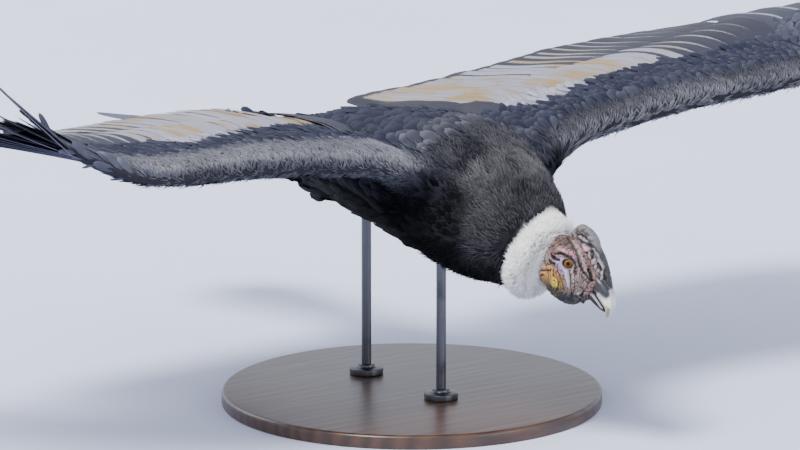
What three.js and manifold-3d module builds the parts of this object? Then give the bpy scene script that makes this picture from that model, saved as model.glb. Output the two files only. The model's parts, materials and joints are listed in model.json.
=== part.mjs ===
// A life-size male Andean condor in a glide, held over a low plate by two short rods.
// Sizes are in millimetres. +Z is up, the bird faces -Y and its left wing reaches along +X.
// The origin is the centre of the plate's underside.
import * as THREE from "three";
import { mergeVertices } from "three/addons/utils/BufferGeometryUtils.js";
import Module from "manifold-3d";

const wasm = await Module();
wasm.setup();

// Stand
const plateRadius = 270;
const plateThickness = 20;
const plateRounding = 5;
const rodRadius = 7;
const collarRadius = 24;
const collarHeight = 14;
const rodForwards = { front: 70, rear: -110 };
// The bird's own origin, midway between the shoulders, stands this high over the floor.
const shoulderHeight = 345;
// Faces of neighbouring parts stay this far apart.
const clearance = 0.3;
// Facets that stand out less than this are merged.
const facetTolerance = 0.06;

// Bird
const torsoEnds = [-392, 292];
const wingRoot = 60;
const wrist = 600;
const handEnd = 792;
const primaryCount = 10;
const tailPairs = 6;
const tailLength = 341;
const skullEnds = [-54, 46];
const combEnds = [-33, 71];
const eyeRadius = 10.5;
const eyeOut = 24;
const ruffRadius = 43.5;
const ruffDepth = 25;
const shankLength = 88;
const toeLengths = [78, 104, 74];

// Places are told as how far forward, to the bird's left and up they lie.
const at = (forward, left, up) => new THREE.Vector3(left, -forward, shoulderHeight + up);
const towards = (forward, left, up) => new THREE.Vector3(left, -forward, up).normalize();
const mix = (a, b, share) => a + (b - a) * share;
const radians = THREE.MathUtils.degToRad;
const circle = 2 * Math.PI;
const steps = (count, first = 0, last = 1) =>
  Array.from({ length: count + 1 }, (_, i) => mix(first, last, i / count));
const sides = [["left", 1], ["right", -1]];

// The same draws on every run
function draws(seed) {
  let state = seed;
  return () => {
    state = (state * 48271) % 2147483647;
    return state / 2147483647;
  };
}

// A smooth function through a few [place, value] keys
function through(...keys) {
  const curve = new THREE.CatmullRomCurve3(keys.map(([place, value]) => new THREE.Vector3(place, value, 0)));
  curve.curveType = "catmullrom";
  const table = curve.getPoints(24 * keys.length);
  return (place) => {
    const after = table.findIndex((p) => p.x >= place);
    if (after < 0) return table.at(-1).y;
    if (after === 0) return table[0].y;
    const [a, b] = [table[after - 1], table[after]];
    return mix(a.y, b.y, (place - a.x) / (b.x - a.x));
  };
}

// A closed solid from points and triangles, turned to face outwards
function solid(points, faces) {
  const vertProperties = new Float32Array(points.flatMap((p) => [p.x, p.y, p.z]));
  const make = (corners) =>
    new wasm.Manifold(new wasm.Mesh({ numProp: 3, vertProperties, triVerts: new Uint32Array(corners) }));
  const made = make(faces);
  if (made.volume() > 0) return made;
  return make(faces.map((corner, i) => (i % 3 === 0 ? corner : faces[i + (i % 3 === 1 ? 1 : -1)])));
}

// A closed solid through rings of points that run the same way round, with a fan over each end
function throughRings(rings) {
  const count = rings[0].length;
  const points = rings.flat();
  const faces = [];
  for (let i = 0; i + 1 < rings.length; i++)
    for (let j = 0; j < count; j++) {
      const a = i * count + j;
      const b = i * count + ((j + 1) % count);
      faces.push(a, b, b + count, a, b + count, a + count);
    }
  for (const last of [false, true]) {
    const start = last ? (rings.length - 1) * count : 0;
    const centre = points.length;
    const middle = new THREE.Vector3();
    for (let j = 0; j < count; j++) {
      const [a, b] = [start + j, start + ((j + 1) % count)];
      middle.addScaledVector(points[a], 1 / count);
      faces.push(centre, ...(last ? [a, b] : [b, a]));
    }
    points.push(middle);
  }
  return solid(points, faces);
}

// A thin closed solid between an upper and a lower grid of points, both split into triangles alike
function sheet(upper, lower) {
  const [rows, columns] = [upper.length, upper[0].length];
  const under = rows * columns;
  const faces = [];
  for (let r = 0; r + 1 < rows; r++)
    for (let c = 0; c + 1 < columns; c++) {
      const a = r * columns + c;
      const [b, d, e] = [a + 1, a + columns, a + columns + 1];
      faces.push(a, b, e, a, e, d, under + a, under + e, under + b, under + a, under + d, under + e);
    }
  const border = [];
  for (let c = 0; c + 1 < columns; c++) border.push(c);
  for (let r = 0; r + 1 < rows; r++) border.push(r * columns + columns - 1);
  for (let c = columns - 1; c > 0; c--) border.push((rows - 1) * columns + c);
  for (let r = rows - 1; r > 0; r--) border.push(r * columns);
  border.forEach((a, i) => {
    const b = border[(i + 1) % border.length];
    faces.push(a, under + a, under + b, a, under + b, b);
  });
  return solid([...upper.flat(), ...lower.flat()], faces);
}

// Points round a centre, squarer as power grows past 2; the lower half may have a depth of its own.
function ring(centre, side, rise, halfWidth, halfHeight, count, power = 2, lowerHeight = halfHeight) {
  return steps(count - 1, 0, circle * (1 - 1 / count)).map((angle) => {
    const [c, s] = [Math.cos(angle), Math.sin(angle)];
    return centre
      .clone()
      .addScaledVector(side, halfWidth * Math.sign(c) * Math.abs(c) ** (2 / power))
      .addScaledVector(rise, (s > 0 ? halfHeight : lowerHeight) * Math.sign(s) * Math.abs(s) ** (2 / power));
  });
}

// A round, tapered length along a smooth line; flatness squeezes it towards a given direction.
function tube(line, radii, { count = 6, length = 5, flatness = 1, flatWay } = {}) {
  const curve = new THREE.CatmullRomCurve3(line);
  const radius = through(...radii.map((value, i) => [i / (radii.length - 1), value]));
  const frames = curve.computeFrenetFrames(length);
  return throughRings(
    steps(length).map((share, i) => {
      const along = frames.tangents[i];
      const rise = flatWay ? flatWay.clone().addScaledVector(along, -flatWay.dot(along)).normalize() : frames.normals[i];
      const across = new THREE.Vector3().crossVectors(along, rise);
      return ring(curve.getPoint(share), across, rise, radius(share), radius(share) * flatness, count);
    }),
  );
}

// A solid from one of the library's closed geometries, placed by a matrix
function fromGeometry(geometry, matrix) {
  const bare = geometry.clone().applyMatrix4(matrix);
  bare.deleteAttribute("normal");
  bare.deleteAttribute("uv");
  const merged = mergeVertices(bare, 1e-3);
  const position = merged.getAttribute("position");
  const points = Array.from({ length: position.count }, (_, i) => new THREE.Vector3().fromBufferAttribute(position, i));
  return solid(points, [...merged.index.array]);
}

const joined = (pieces) => pieces.reduce((sum, piece) => sum.add(piece));
const cutBy = (whole, cutters) => cutters.reduce((rest, cutter) => rest.subtract(cutter), whole);
// The largest closed surface of a solid
const largest = (whole) => whole.decompose().reduce((best, piece) => (piece.volume() > best.volume() ? piece : best));

const feather = (color) => new THREE.MeshStandardMaterial({ color, roughness: 0.78, side: THREE.DoubleSide });
const skin = (color) => new THREE.MeshStandardMaterial({ color, roughness: 0.6 });
const horn = (color) => new THREE.MeshStandardMaterial({ color, roughness: 0.38 });
const materials = {
  feather_black: feather(0x25252c),
  feather_white: feather(0xe4e2dc),
  face_skin: skin(0x8a6258),
  comb_skin: skin(0x5d5355),
  leg_skin: skin(0x77736f),
  bill_horn: horn(0xcfcabb),
  claw_horn: horn(0x2a2725),
  eye_gloss: new THREE.MeshStandardMaterial({ color: 0xb06a14, roughness: 0.08 }),
  stand_metal: new THREE.MeshStandardMaterial({ color: 0x35363a, roughness: 0.4, metalness: 0.8 }),
  stand_board: new THREE.MeshStandardMaterial({ color: 0x3a2a20, roughness: 0.6 }),
};

// Adds the largest closed surface of a solid to the group, as one named node without needless facets.
const group = new THREE.Group();
function addNode(name, made, material) {
  const { numProp, vertProperties, triVerts, numVert } = largest(made).simplify(facetTolerance).getMesh();
  const position = new Float32Array(numVert * 3);
  for (let i = 0; i < numVert; i++) position.set(vertProperties.subarray(i * numProp, i * numProp + 3), i * 3);
  const geometry = new THREE.BufferGeometry();
  geometry.setAttribute("position", new THREE.BufferAttribute(position, 3));
  geometry.setIndex(new THREE.BufferAttribute(triVerts, 1));
  geometry.computeVertexNormals();
  const mesh = new THREE.Mesh(geometry, materials[material]);
  mesh.name = name;
  group.add(mesh);
}

// Torso: a broad back over a keeled belly, on an axis that dips towards the neck
const torsoHalfWidth = through([-400, 32], [-330, 50], [-260, 66], [-170, 88], [-70, 113], [50, 132], [140, 125], [200, 104], [250, 84], [300, 56]);
const torsoBack = through([-400, 24], [-260, 46], [-190, 62], [-130, 76], [-70, 86], [50, 98], [140, 110], [200, 100], [250, 84], [300, 56]);
const torsoBelly = through([-400, 18], [-330, 28], [-260, 36], [-170, 45], [-70, 64], [0, 77], [50, 83], [140, 92], [200, 95], [250, 80], [300, 58]);
const torsoAxisUp = through([-400, -20], [-260, -18], [-130, -13], [50, -11], [140, -23], [200, -38], [250, -54], [300, -72]);
const torsoTilt = through([-400, 4], [0, 0], [140, 8], [300, 24]);
function torsoShape(grown = 0) {
  const [rear, front] = torsoEnds;
  return throughRings(
    steps(14, rear - grown, front + grown).map((forward) => {
      const tilt = radians(torsoTilt(forward));
      const rise = towards(Math.sin(tilt), 0, Math.cos(tilt));
      const place = at(forward, 0, torsoAxisUp(forward));
      const [back, belly] = [torsoBack(forward) + grown, torsoBelly(forward) + grown];
      return ring(place, towards(0, 1, 0), rise, torsoHalfWidth(forward) + grown, back, 16, 2.1, belly);
    }),
  );
}
const torsoGrown = torsoShape(clearance);
addNode("torso", torsoShape(), "feather_black");

// Wings, as functions of the distance from the midline
const leadingForward = through([40, 196], [100, 198], [137, 190], [190, 183], [250, 183], [340, 194], [430, 205], [520, 213], [600, 214], [660, 206], [720, 194], [800, 180]);
const leadingUp = through([40, 0], [100, 10], [137, 36], [190, 54], [250, 63], [340, 77], [430, 85], [520, 89], [600, 99], [660, 124], [720, 160], [800, 220]);
const trailingForward = through([40, -285], [130, -300], [350, -304], [600, -290], [800, -270]);
const trailingUp = through([40, 20], [130, 26], [350, 34], [430, 38], [500, 43], [600, 48], [700, 48], [800, 44]);
// The right wing's rear edge is held a little higher than the left one's.
const trailingLift = through([40, 6], [200, 11], [350, 6], [450, 0]);
const wingCamber = through([40, 22], [450, 22], [600, 33], [800, 38]);
const armThickness = through([40, 84], [100, 80], [137, 66], [190, 58], [250, 56], [430, 50], [520, 44], [600, 38], [660, 28], [700, 20], [800, 12]);
const fleshShare = through([40, 0.66], [300, 0.6], [600, 0.5], [700, 0.36], [800, 0.2]);
// A point of the wing's middle surface, a share of the way from its leading to its trailing edge
function onWing(side, left, share) {
  const forward = mix(leadingForward(left), trailingForward(left), share);
  const trailing = trailingUp(left) - side * trailingLift(left);
  const up = mix(leadingUp(left), trailing, share) + wingCamber(left) * 4 * share * (1 - share);
  return at(forward, side * left, up);
}
// The wing's flesh and small feathers between two distances from the midline
function wingFlesh(side, from, to, length, grown = 0) {
  const count = 10;
  return throughRings(
    steps(length, from, to).map((left) =>
      steps(count - 1, 0, circle * (1 - 1 / count)).map((angle) => {
        const share = (1 - Math.cos(angle)) / 2;
        const blunt = 1.15 * Math.min(1, share / 0.16) ** 0.5 * (1 - share) ** 0.9;
        const half = (armThickness(left) / 2) * blunt + 2.5 * Math.sqrt(share) + grown;
        const place = onWing(side, left, share * fleshShare(left));
        const upper = Math.sin(angle) >= 0;
        if (share > 1e-6) place.z += upper ? half * 0.8 : -half;
        return place;
      }),
    ),
  );
}

// A feather's vane through stations of its shaft, each { place, across, width } with across towards the
// wing's tip. The far edge is raised and the near one lowered, so that each feather lies on the next.
function vane(stations, { outer = 0.35, slope = 0.07, thickness = 1.2, extra = 0 }) {
  const rows = stations.map(({ place, across, width, rise }) =>
    [outer - 1, outer].map((edge) => {
      const half = thickness / 2 + extra;
      const middle = place.clone().addScaledVector(across, edge * width);
      middle.addScaledVector(rise, edge * width * slope);
      return [half, -half].map((offset) => middle.clone().addScaledVector(rise, offset));
    }),
  );
  return sheet(rows.map((row) => row.map(([upper]) => upper)), rows.map((row) => row.map(([, lower]) => lower)));
}
// Stations from rows of shafts that run side by side; across follows the neighbours, or has its own pitch.
function stationsOf(shafts, index, widths, side, pitch) {
  return widths.map((width, i) => {
    const [before, after] = [shafts[Math.max(0, index - 1)], shafts[Math.min(shafts.length - 1, index + 1)]];
    const place = shafts[index][i];
    const along = shafts[index][Math.min(i + 1, widths.length - 1)].clone().sub(shafts[index][Math.max(i - 1, 0)]).normalize();
    const level = new THREE.Vector3(side * along.y, -side * along.x, pitch);
    const across = pitch === undefined ? after[i].clone().sub(before[i]) : level;
    across.addScaledVector(along, -across.dot(along)).normalize();
    const rise = new THREE.Vector3().crossVectors(across, along).multiplyScalar(side);
    return { place, across, width, rise };
  });
}

// Tiers of the arm, from the longest down: how many feathers, where they root, how far along the wing's
// chord they run, how high over its middle surface and how wide they are there
const armTiers = [
  { count: 13, from: 150, to: 590, shares: [0.5, 0.72, 0.94, 1.005], heights: [0, 0, 0, -1], widths: [52, 72, 66, 26], slope: 0.07 },
  { count: 3, from: 86, to: 142, shares: [0.36, 0.62, 0.82], heights: [8, 10, 7], widths: [36, 58, 22], slope: 0.06 },
  { count: 10, from: 118, to: 586, shares: [0.32, 0.5, 0.65], heights: [7, 10, 7], widths: [52, 76, 34], slope: 0.06 },
];
// How far the feathers lean outwards for each step back
const armLean = through([84, -0.02], [150, -0.12], [250, -0.16], [400, -0.08], [500, 0], [600, 0.16]);
function armFeathers(side, tier, chosen = [0, tier.count - 1], extra = 0) {
  const vary = draws(tier.count);
  const roots = steps(tier.count - 1, tier.from, tier.to);
  const shafts = roots.map((root) => {
    const reach = 1 + 0.02 * (vary() - 0.5);
    return tier.shares.map((share, i) => {
      const back = (share * reach - tier.shares[0]) * (leadingForward(root) - trailingForward(root));
      const place = onWing(side, root + armLean(root) * back, share * reach);
      place.z += tier.heights[i];
      return place;
    });
  });
  return shafts
    .map((_, index) => index)
    .filter((index) => index >= chosen[0] && index <= chosen[1])
    .map((index) => vane(stationsOf(shafts, index, tier.widths, side), { outer: 0.42, slope: tier.slope, extra }));
}

// Primaries, from 1 beside the wrist to 10 at the leading edge: lifts and sweeps out from straight back
const primaryLength = through([1, 425], [2, 455], [3, 500], [4, 550], [5, 592], [6, 620], [7, 632], [8, 628], [9, 612], [10, 572]);
const firstLift = through([1, 14], [2, 16], [3, 19], [4, 23], [5, 23], [6, 22], [7, 21], [8, 20], [9, 24], [10, 39]);
const lastLift = through([1, -28], [2, -30], [3, -33], [4, -20], [5, -4], [6, 9], [7, 20], [8, 30], [9, 41], [10, 52]);
// How much higher a vane's outer edge is held than its inner one
const primaryPitch = through([1, 0.06], [7, 0.08], [8, 0.04], [9, -0.05], [10, -0.23]);
const primaryShares = [0, 0.2, 0.42, 0.54, 0.88, 1];
const primaryWidths = [16, 60, 78, 52, 42, 12];
// Points along a primary from its root, sunk into the hand, or along a covert that lies on it
function primaryShaft(side, number, { reach = 1, height = 0, shares = primaryShares, sunk = 18 } = {}) {
  const share = (number - 1) / (primaryCount - 1);
  const length = primaryLength(number) * reach;
  const heading = (along) => {
    const sweep = radians(mix(mix(14, 83, share ** 0.86), mix(9, 70, share ** 0.86), along * reach));
    const lift = radians(mix(firstLift(number), lastLift(number), along * reach));
    return towards(-Math.cos(sweep) * Math.cos(lift), side * Math.sin(sweep) * Math.cos(lift), Math.sin(lift));
  };
  const place = at(mix(120, 184, share), side * mix(618, 722, share), mix(108, 152, share ** 1.3) + height);
  place.addScaledVector(heading(0), -sunk);
  const paces = 24;
  const path = [place.clone()];
  for (let i = 0; i < paces; i++)
    path.push(place.addScaledVector(heading((i + 0.5) / paces), (length + sunk) / paces).clone());
  return shares.map((along) => path[Math.round(along * paces)]);
}
function handFeathers(side) {
  const numbers = steps(primaryCount - 1, 1, primaryCount);
  const primaries = numbers.map((number) => primaryShaft(side, number));
  const covertShares = [0, 0.6, 1];
  const covertNumbers = steps(5, 1, primaryCount - 0.6);
  const coverts = covertNumbers.map((number) => primaryShaft(side, number, { reach: 0.33, height: 7, shares: covertShares }));
  const alulaShares = [0, 0.55, 1];
  const alula = alulaShares.map((along) => {
    const place = onWing(side, mix(622, 756, along), mix(0.1, 0.06, along));
    place.z += mix(6, 13, along);
    return place;
  });
  return [
    ...numbers.map((_, i) => vane(stationsOf(primaries, i, primaryWidths, side, primaryPitch(i + 1)), { outer: 0.36, thickness: 1.4 })),
    ...covertNumbers.slice(1).map((_, i) => vane(stationsOf(coverts, i + 1, [28, 66, 28], side, primaryPitch(covertNumbers[i + 1])), {})),
    vane(stationsOf([alula], 0, [20, 40, 16], side, 0), { outer: 0.4, slope: 0 }),
  ];
}
for (const [sideName, side] of sides) {
  const arm = joined([wingFlesh(side, wingRoot, wrist, 8), ...armTiers.flatMap((tier) => armFeathers(side, tier))]);
  addNode(`wing_${sideName}_arm`, arm.subtract(torsoGrown), "feather_black");
  const nearby = armTiers.flatMap((tier) => armFeathers(side, tier, [tier.count - 4, tier.count - 1], clearance));
  const hand = joined([wingFlesh(side, wrist + clearance, handEnd, 4), ...handFeathers(side)]);
  const wristFlesh = wingFlesh(side, wrist - 80, wrist + clearance, 2, clearance);
  addNode(`wing_${sideName}_hand`, cutBy(hand, [wristFlesh, ...nearby]), "feather_black");
}

// Tail: a half-closed fan that droops and is rolled, its right side up, from a base behind the torso.
// Its feathers lie flat, one pair under the next, the left one of a pair half a step lower.
const tailRoot = at(-368, 0, -10);
const [tailDroop, tailRoll] = [radians(9.2), radians(20)];
const tailStack = 2.4;
const tailBack = towards(-Math.cos(tailDroop), 0, -Math.sin(tailDroop));
const tailSide = towards(0, Math.cos(tailRoll), -Math.sin(tailRoll));
const tailRise = new THREE.Vector3().crossVectors(tailSide, tailBack).normalize();
const onTail = (back, left, up) =>
  tailRoot.clone().addScaledVector(tailBack, back).addScaledVector(tailSide, left).addScaledVector(tailRise, up);
function tailTier(pairs, length, height, shares, widths) {
  return sides.flatMap(([, side]) =>
    steps(pairs - 1).map((out, i) => {
      const spread = radians(mix(1.4, 16, out));
      const reach = length * (1 - 0.13 * out ** 1.6);
      const up = height - tailStack * (i + (side > 0 ? 0.5 : 0));
      const across = tailSide.clone().multiplyScalar(side).addScaledVector(tailBack, -Math.sin(spread));
      const stations = shares.map((along, j) => {
        const left = side * (mix(5, 24, out) + Math.sin(spread) * reach * along);
        const place = onTail(Math.cos(spread) * reach * along - 18, left, up);
        return { place, across: across.clone().normalize(), rise: tailRise, width: widths[j] };
      });
      return vane(stations, { outer: 0.48, slope: 0, thickness: 0.9 });
    }),
  );
}
{
  const base = throughRings(
    steps(5).map((share) => {
      const half = Math.sqrt(1 - (share * 0.93) ** 2);
      return ring(onTail(mix(-24, 92, share), 0, -4), tailSide, tailRise, mix(40, 44, share) * half, 19 * half, 12);
    }),
  );
  const quills = tailTier(tailPairs, tailLength, 0, [0.14, 0.5, 0.92, 1], [30, 54, 52, 20]);
  const coverts = tailTier(tailPairs - 3, 150, 5, [0.3, 0.75, 1], [44, 72, 30]);
  addNode("tail", joined([base, ...quills, ...coverts]).subtract(torsoGrown), "feather_black");
}

// Head, in its own frame: its origin lies between the eyes, x runs to the bill, y to the bird's left, z up
const headOrigin = at(357.6, 18.3, -79);
const headTurn = { yaw: radians(15), pitch: radians(28), roll: radians(-24) };
const headFrame = new THREE.Matrix4()
  .makeTranslation(headOrigin.x, headOrigin.y, headOrigin.z)
  .multiply(new THREE.Matrix4().makeRotationZ(headTurn.yaw - Math.PI / 2))
  .multiply(new THREE.Matrix4().makeRotationY(headTurn.pitch))
  .multiply(new THREE.Matrix4().makeRotationX(headTurn.roll));
const onHead = (x, y, z) => new THREE.Vector3(x, y, z).applyMatrix4(headFrame);
const headWay = (x, y, z) => new THREE.Vector3(x, y, z).transformDirection(headFrame);
// A rounded lump or hollow of the head, by its centre and half sizes
function lump(centre, halves, [around, over] = [10, 7]) {
  const matrix = headFrame.clone().multiply(new THREE.Matrix4().makeTranslation(...centre));
  matrix.multiply(new THREE.Matrix4().makeScale(...halves));
  return fromGeometry(new THREE.SphereGeometry(1, around, over), matrix);
}
// A blade along the head between a top and a bottom line, with the function that finds its side
function headLoft(ends, length, count, power, top, bottom, halfWidth) {
  const shape = (grown = 0) =>
    throughRings(
      steps(length, ends[0] - grown, ends[1] + grown).map((x) => {
        const [middle, half] = [(top(x) + bottom(x)) / 2, (top(x) - bottom(x)) / 2];
        return ring(onHead(x, 0, middle), headWay(0, 1, 0), headWay(0, 0, 1), halfWidth(x) + grown, half + grown, count, power);
      }),
    );
  const sideAt = (x, z) => {
    const rise = Math.abs(z - (top(x) + bottom(x)) / 2) / ((top(x) - bottom(x)) / 2);
    return halfWidth(x) * (1 - Math.min(1, rise) ** power) ** (1 / power);
  };
  return { shape, sideAt };
}
const skull = headLoft(
  skullEnds, 10, 16, 2.2,
  through([-54, 4], [-45, 19], [-32, 28], [-14, 31], [4, 29], [20, 23], [36, 16], [48, 12]),
  through([-54, -28], [-45, -39], [-30, -45], [-10, -47], [10, -48], [24, -43], [36, -33], [48, -24]),
  through([-54, 17], [-45, 27], [-32, 34], [-12, 37], [4, 34], [20, 28], [36, 20], [48, 14]),
);
const comb = headLoft(
  combEnds, 12, 10, 2.4,
  through([-33, 41], [-28, 52], [-12, 55], [4, 51], [14, 44], [26, 39], [44, 28], [60, 16], [71, 6]),
  through([-33, 31], [-20, 26], [0, 24], [20, 17], [40, 8], [60, 1], [71, 0]),
  through([-33, 5], [-24, 9], [0, 11], [30, 12], [55, 9], [71, 5]),
);
const skullGrown = skull.shape(clearance);
const combGrown = comb.shape(clearance);

// Folds of bare skin, each along [x, z] places on one side of the head
const faceFolds = [
  { line: [[-17, 10], [-6, 17], [6, 16], [15, 7]], radii: [1.5, 3.2, 3.2, 1.5] },
  { line: [[-38, 12], [-28, 20], [-8, 25], [8, 23]], radii: [1.5, 3, 3, 1.5] },
  { line: [[-22, 7], [-24, -6], [-31, -18]], radii: [1.6, 3.2, 1.6] },
  { line: [[14, 4], [25, -10], [36, -23], [43, -30]], radii: [2.4, 4.4, 5, 3.8] },
  { line: [[-12, -20], [-5, -31], [-3, -42]], radii: [1.6, 3, 1.6] },
  { line: [[4, -18], [12, -29], [17, -40]], radii: [1.6, 3, 1.6] },
];
const combFolds = [
  { line: [[-25, 46], [-6, 43], [18, 33], [40, 20]], radii: [2, 3.4, 3.2, 2] },
  { line: [[-22, 36], [2, 33], [26, 24], [46, 12]], radii: [2, 3.6, 3.4, 2] },
];
const combBulbs = [[20, 24, 5], [42, 12.5, 4]];
const alongSide = (surface, side, line, sunk = 0) =>
  line.map(([x, z]) => onHead(x, side * (surface.sideAt(x, z) - sunk), z));
const foldsOf = (surface, side, folds) =>
  folds.map(({ line, radii }) =>
    tube(alongSide(surface, side, line, 0.8), radii, { count: 4, length: 3, flatWay: headWay(0, side, 0) }),
  );

const combSolid = joined([
  comb.shape(),
  ...sides.flatMap(([, side]) => foldsOf(comb, side, combFolds)),
  ...sides.flatMap(([, side]) => combBulbs.map(([x, z, r]) => lump([x, side * comb.sideAt(x, z), z], [r * 1.2, r, r], [6, 4]))),
]);
addNode("comb", combSolid.subtract(skullGrown), "comb_skin");

// Eyes: a globe on each side, in a socket with an upper and a lower lid round it
const eyeGlobe = (side, grown = 0) => lump([0, side * eyeOut, 0], Array(3).fill(eyeRadius + grown), [10, 7]);
const socket = (side) => lump([0, side * (eyeOut + 14), 0], [14, 8, 11], [10, 6]);
const lidLine = (side, lid) =>
  steps(4, radians(185), radians(-5)).map((angle) => onHead(9 * Math.cos(angle), side * (eyeOut + 8.2), 6.4 * lid * Math.sin(angle)));
const lids = sides.flatMap(([, side]) => [1, -1].map((lid) => tube(lidLine(side, lid), [1.6, 2.3, 1.6], { count: 4, length: 5 })));
for (const [sideName, side] of sides) addNode(`eye_${sideName}`, eyeGlobe(side), "eye_gloss");

// Ears: a cup behind each eye, between two folds; nostrils: one slot right through; mouth: a groove
const earCup = (side) => lump([-28, side * (skull.sideAt(-28, -5) + 1), -5], [5, 6, 9], [8, 5]);
const nostril = lump([41, 0, 2.5], [4.5, 30, 2.2], [8, 4]);
const mouthLine = (side) => tube(alongSide(skull, side, [[46.6, -10], [36, -12], [26, -16]]), [1.6, 1.4, 0.8], { count: 5, length: 4 });
const dewlap = (grown = 0) =>
  tube([[42, -27], [26, -41], [0, -45.5], [-22, -43]].map(([x, z]) => onHead(x, 0, z)), [3, 5, 5, 3].map((r) => r + grown), { length: 5 });
const headBase = joined([skull.shape(), dewlap(), ...sides.flatMap(([, side]) => foldsOf(skull, side, faceFolds))]);
const hollows = sides.flatMap(([, side]) => [socket(side), earCup(side), mouthLine(side)]);
const faceWithLids = joined([cutBy(headBase, [...hollows, nostril]), ...lids]);
const eyeHollows = sides.map(([, side]) => eyeGlobe(side, clearance));
// The comb sits on the crown, so what the skull leaves of it is cut out of the folds beside it.
const combCut = joined([combGrown, ...sides.flatMap(([, side]) => foldsOf(comb, side, combFolds.map((fold) => ({ ...fold, radii: fold.radii.map((r) => r + clearance) }))))]);
const bulbsGrown = sides.flatMap(([, side]) => combBulbs.map(([x, z, r]) => lump([x, side * comb.sideAt(x, z), z], [r * 1.2 + clearance, r + clearance, r + clearance], [6, 4])));
addNode("head", cutBy(faceWithLids, [...eyeHollows, combCut.subtract(skull.shape()), ...bulbsGrown.map((bulb) => bulb.subtract(skull.shape()))]), "face_skin");

// Bill: the upper half bends down to a hook over the tip of the lower one
const mandibles = {
  upper: { line: [[46.6, 4], [60, 0], [72, -5], [80, -13], [84, -23]], halfWidths: [12, 10.5, 8.5, 6, 1], halfHeights: [10, 10.5, 9.5, 6.5, 1.5] },
  lower: { line: [[46.6, -15.5], [58, -18], [69, -20], [77, -21]], halfWidths: [9, 8, 6, 3], halfHeights: [5.5, 4.6, 3.4, 1.5] },
};
function mandible({ line, halfWidths, halfHeights }, grown = 0) {
  const curve = new THREE.CatmullRomCurve3(line.map(([x, z]) => new THREE.Vector3(x, 0, z)));
  const spaced = (values) => through(...values.map((value, i) => [i / (values.length - 1), value]));
  const [width, height] = [spaced(halfWidths), spaced(halfHeights)];
  return throughRings(
    steps(9).map((share) => {
      const [{ x, z }, along] = [curve.getPoint(share), curve.getTangent(share)];
      return ring(onHead(x, 0, z), headWay(0, 1, 0), headWay(-along.z, 0, along.x), width(share) + grown, height(share) + grown, 12, 2.3);
    }),
  );
}
const upperGrown = mandible(mandibles.upper, clearance);
addNode("bill_upper", cutBy(mandible(mandibles.upper), [combGrown, skullGrown, nostril]), "bill_horn");
addNode("bill_lower", cutBy(mandible(mandibles.lower), [skullGrown, upperGrown]), "bill_horn");

// Neck: a short bare stretch from the torso to the head, in rings of loose skin
const neckEnds = [at(270, 0, -66), at(345, 14, -80)];
const neckAlong = neckEnds[1].clone().sub(neckEnds[0]).normalize();
const neckSide = new THREE.Vector3().crossVectors(new THREE.Vector3(0, 0, 1), neckAlong).normalize();
const neckRise = new THREE.Vector3().crossVectors(neckAlong, neckSide);
function neckShape(grown = 0) {
  const folds = 3;
  return throughRings(
    steps(2 * folds).map((share) => {
      const fold = 1.6 * Math.cos(circle * folds * share);
      const place = neckEnds[0].clone().lerp(neckEnds[1], share);
      return ring(place, neckSide, neckRise, mix(38, 31, share) - fold + grown, mix(40, 33, share) - fold + grown, 10);
    }),
  );
}
const headCut = joined([skullGrown, ...sides.flatMap(([, side]) => foldsOf(skull, side, faceFolds.map((fold) => ({ ...fold, radii: fold.radii.map((r) => r + clearance) }))))]);
addNode("neck", cutBy(neckShape(), [torsoGrown, headCut, dewlap(clearance)]), "face_skin");

// Ruff: tiers of downy locks round a thin core, each lying from the head side out and back to the body
const ruffCentre = at(298, -1, -69);
const ruffAxis = towards(0.85, 0.32, -0.4);
const ruffTurn = new THREE.Quaternion().setFromUnitVectors(new THREE.Vector3(0, 0, 1), ruffAxis);
const ruffFrame = new THREE.Matrix4().compose(ruffCentre, ruffTurn, new THREE.Vector3(1, 1, 1));
// A place round the ruff: the angle about the neck, the angle about the core, and how far out from the core
function onRuff(around, over, out) {
  const radius = ruffRadius + out * Math.cos(over);
  const place = new THREE.Vector3(radius * Math.cos(around), radius * Math.sin(around), out * Math.sin(over));
  return place.applyMatrix4(ruffFrame);
}
const ruffTiers = [152, 100, 48].map(radians);
const locksPerTier = 11;
{
  const core = fromGeometry(new THREE.TorusGeometry(ruffRadius, ruffDepth * 0.48, 6, locksPerTier), ruffFrame);
  const vary = draws(5);
  const bend = radians(66);
  const locks = ruffTiers.flatMap((first, tier) =>
    steps(locksPerTier - 1, 0, circle * (1 - 1 / locksPerTier)).map((start) => {
      const around = start + ((tier % 2) * circle) / (2 * locksPerTier) + 0.1 * (vary() - 0.5);
      const reach = ruffDepth * (0.95 + 0.1 * vary());
      const stations = [0, 0.4, 0.75, 1].map((share, i) => {
        const over = first - bend * share;
        const place = onRuff(around, over, mix(reach * 0.3, reach, share ** 0.6));
        const across = onRuff(around + 0.01, over, reach).sub(onRuff(around - 0.01, over, reach)).normalize();
        const rise = onRuff(around, over, reach + 1).sub(onRuff(around, over, reach)).normalize();
        const spacing = (circle * (ruffRadius + reach * Math.cos(over))) / locksPerTier;
        return { place, across, rise, width: spacing * [0.8, 1.25, 1.15, 0.4][i] };
      });
      return vane(stations, { outer: 0.5, slope: 0.2, thickness: 2.2 });
    }),
  );
  addNode("ruff", cutBy(joined([core, ...locks]), [torsoGrown, headCut, dewlap(clearance), combCut, neckShape(clearance)]), "feather_white");
}

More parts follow.
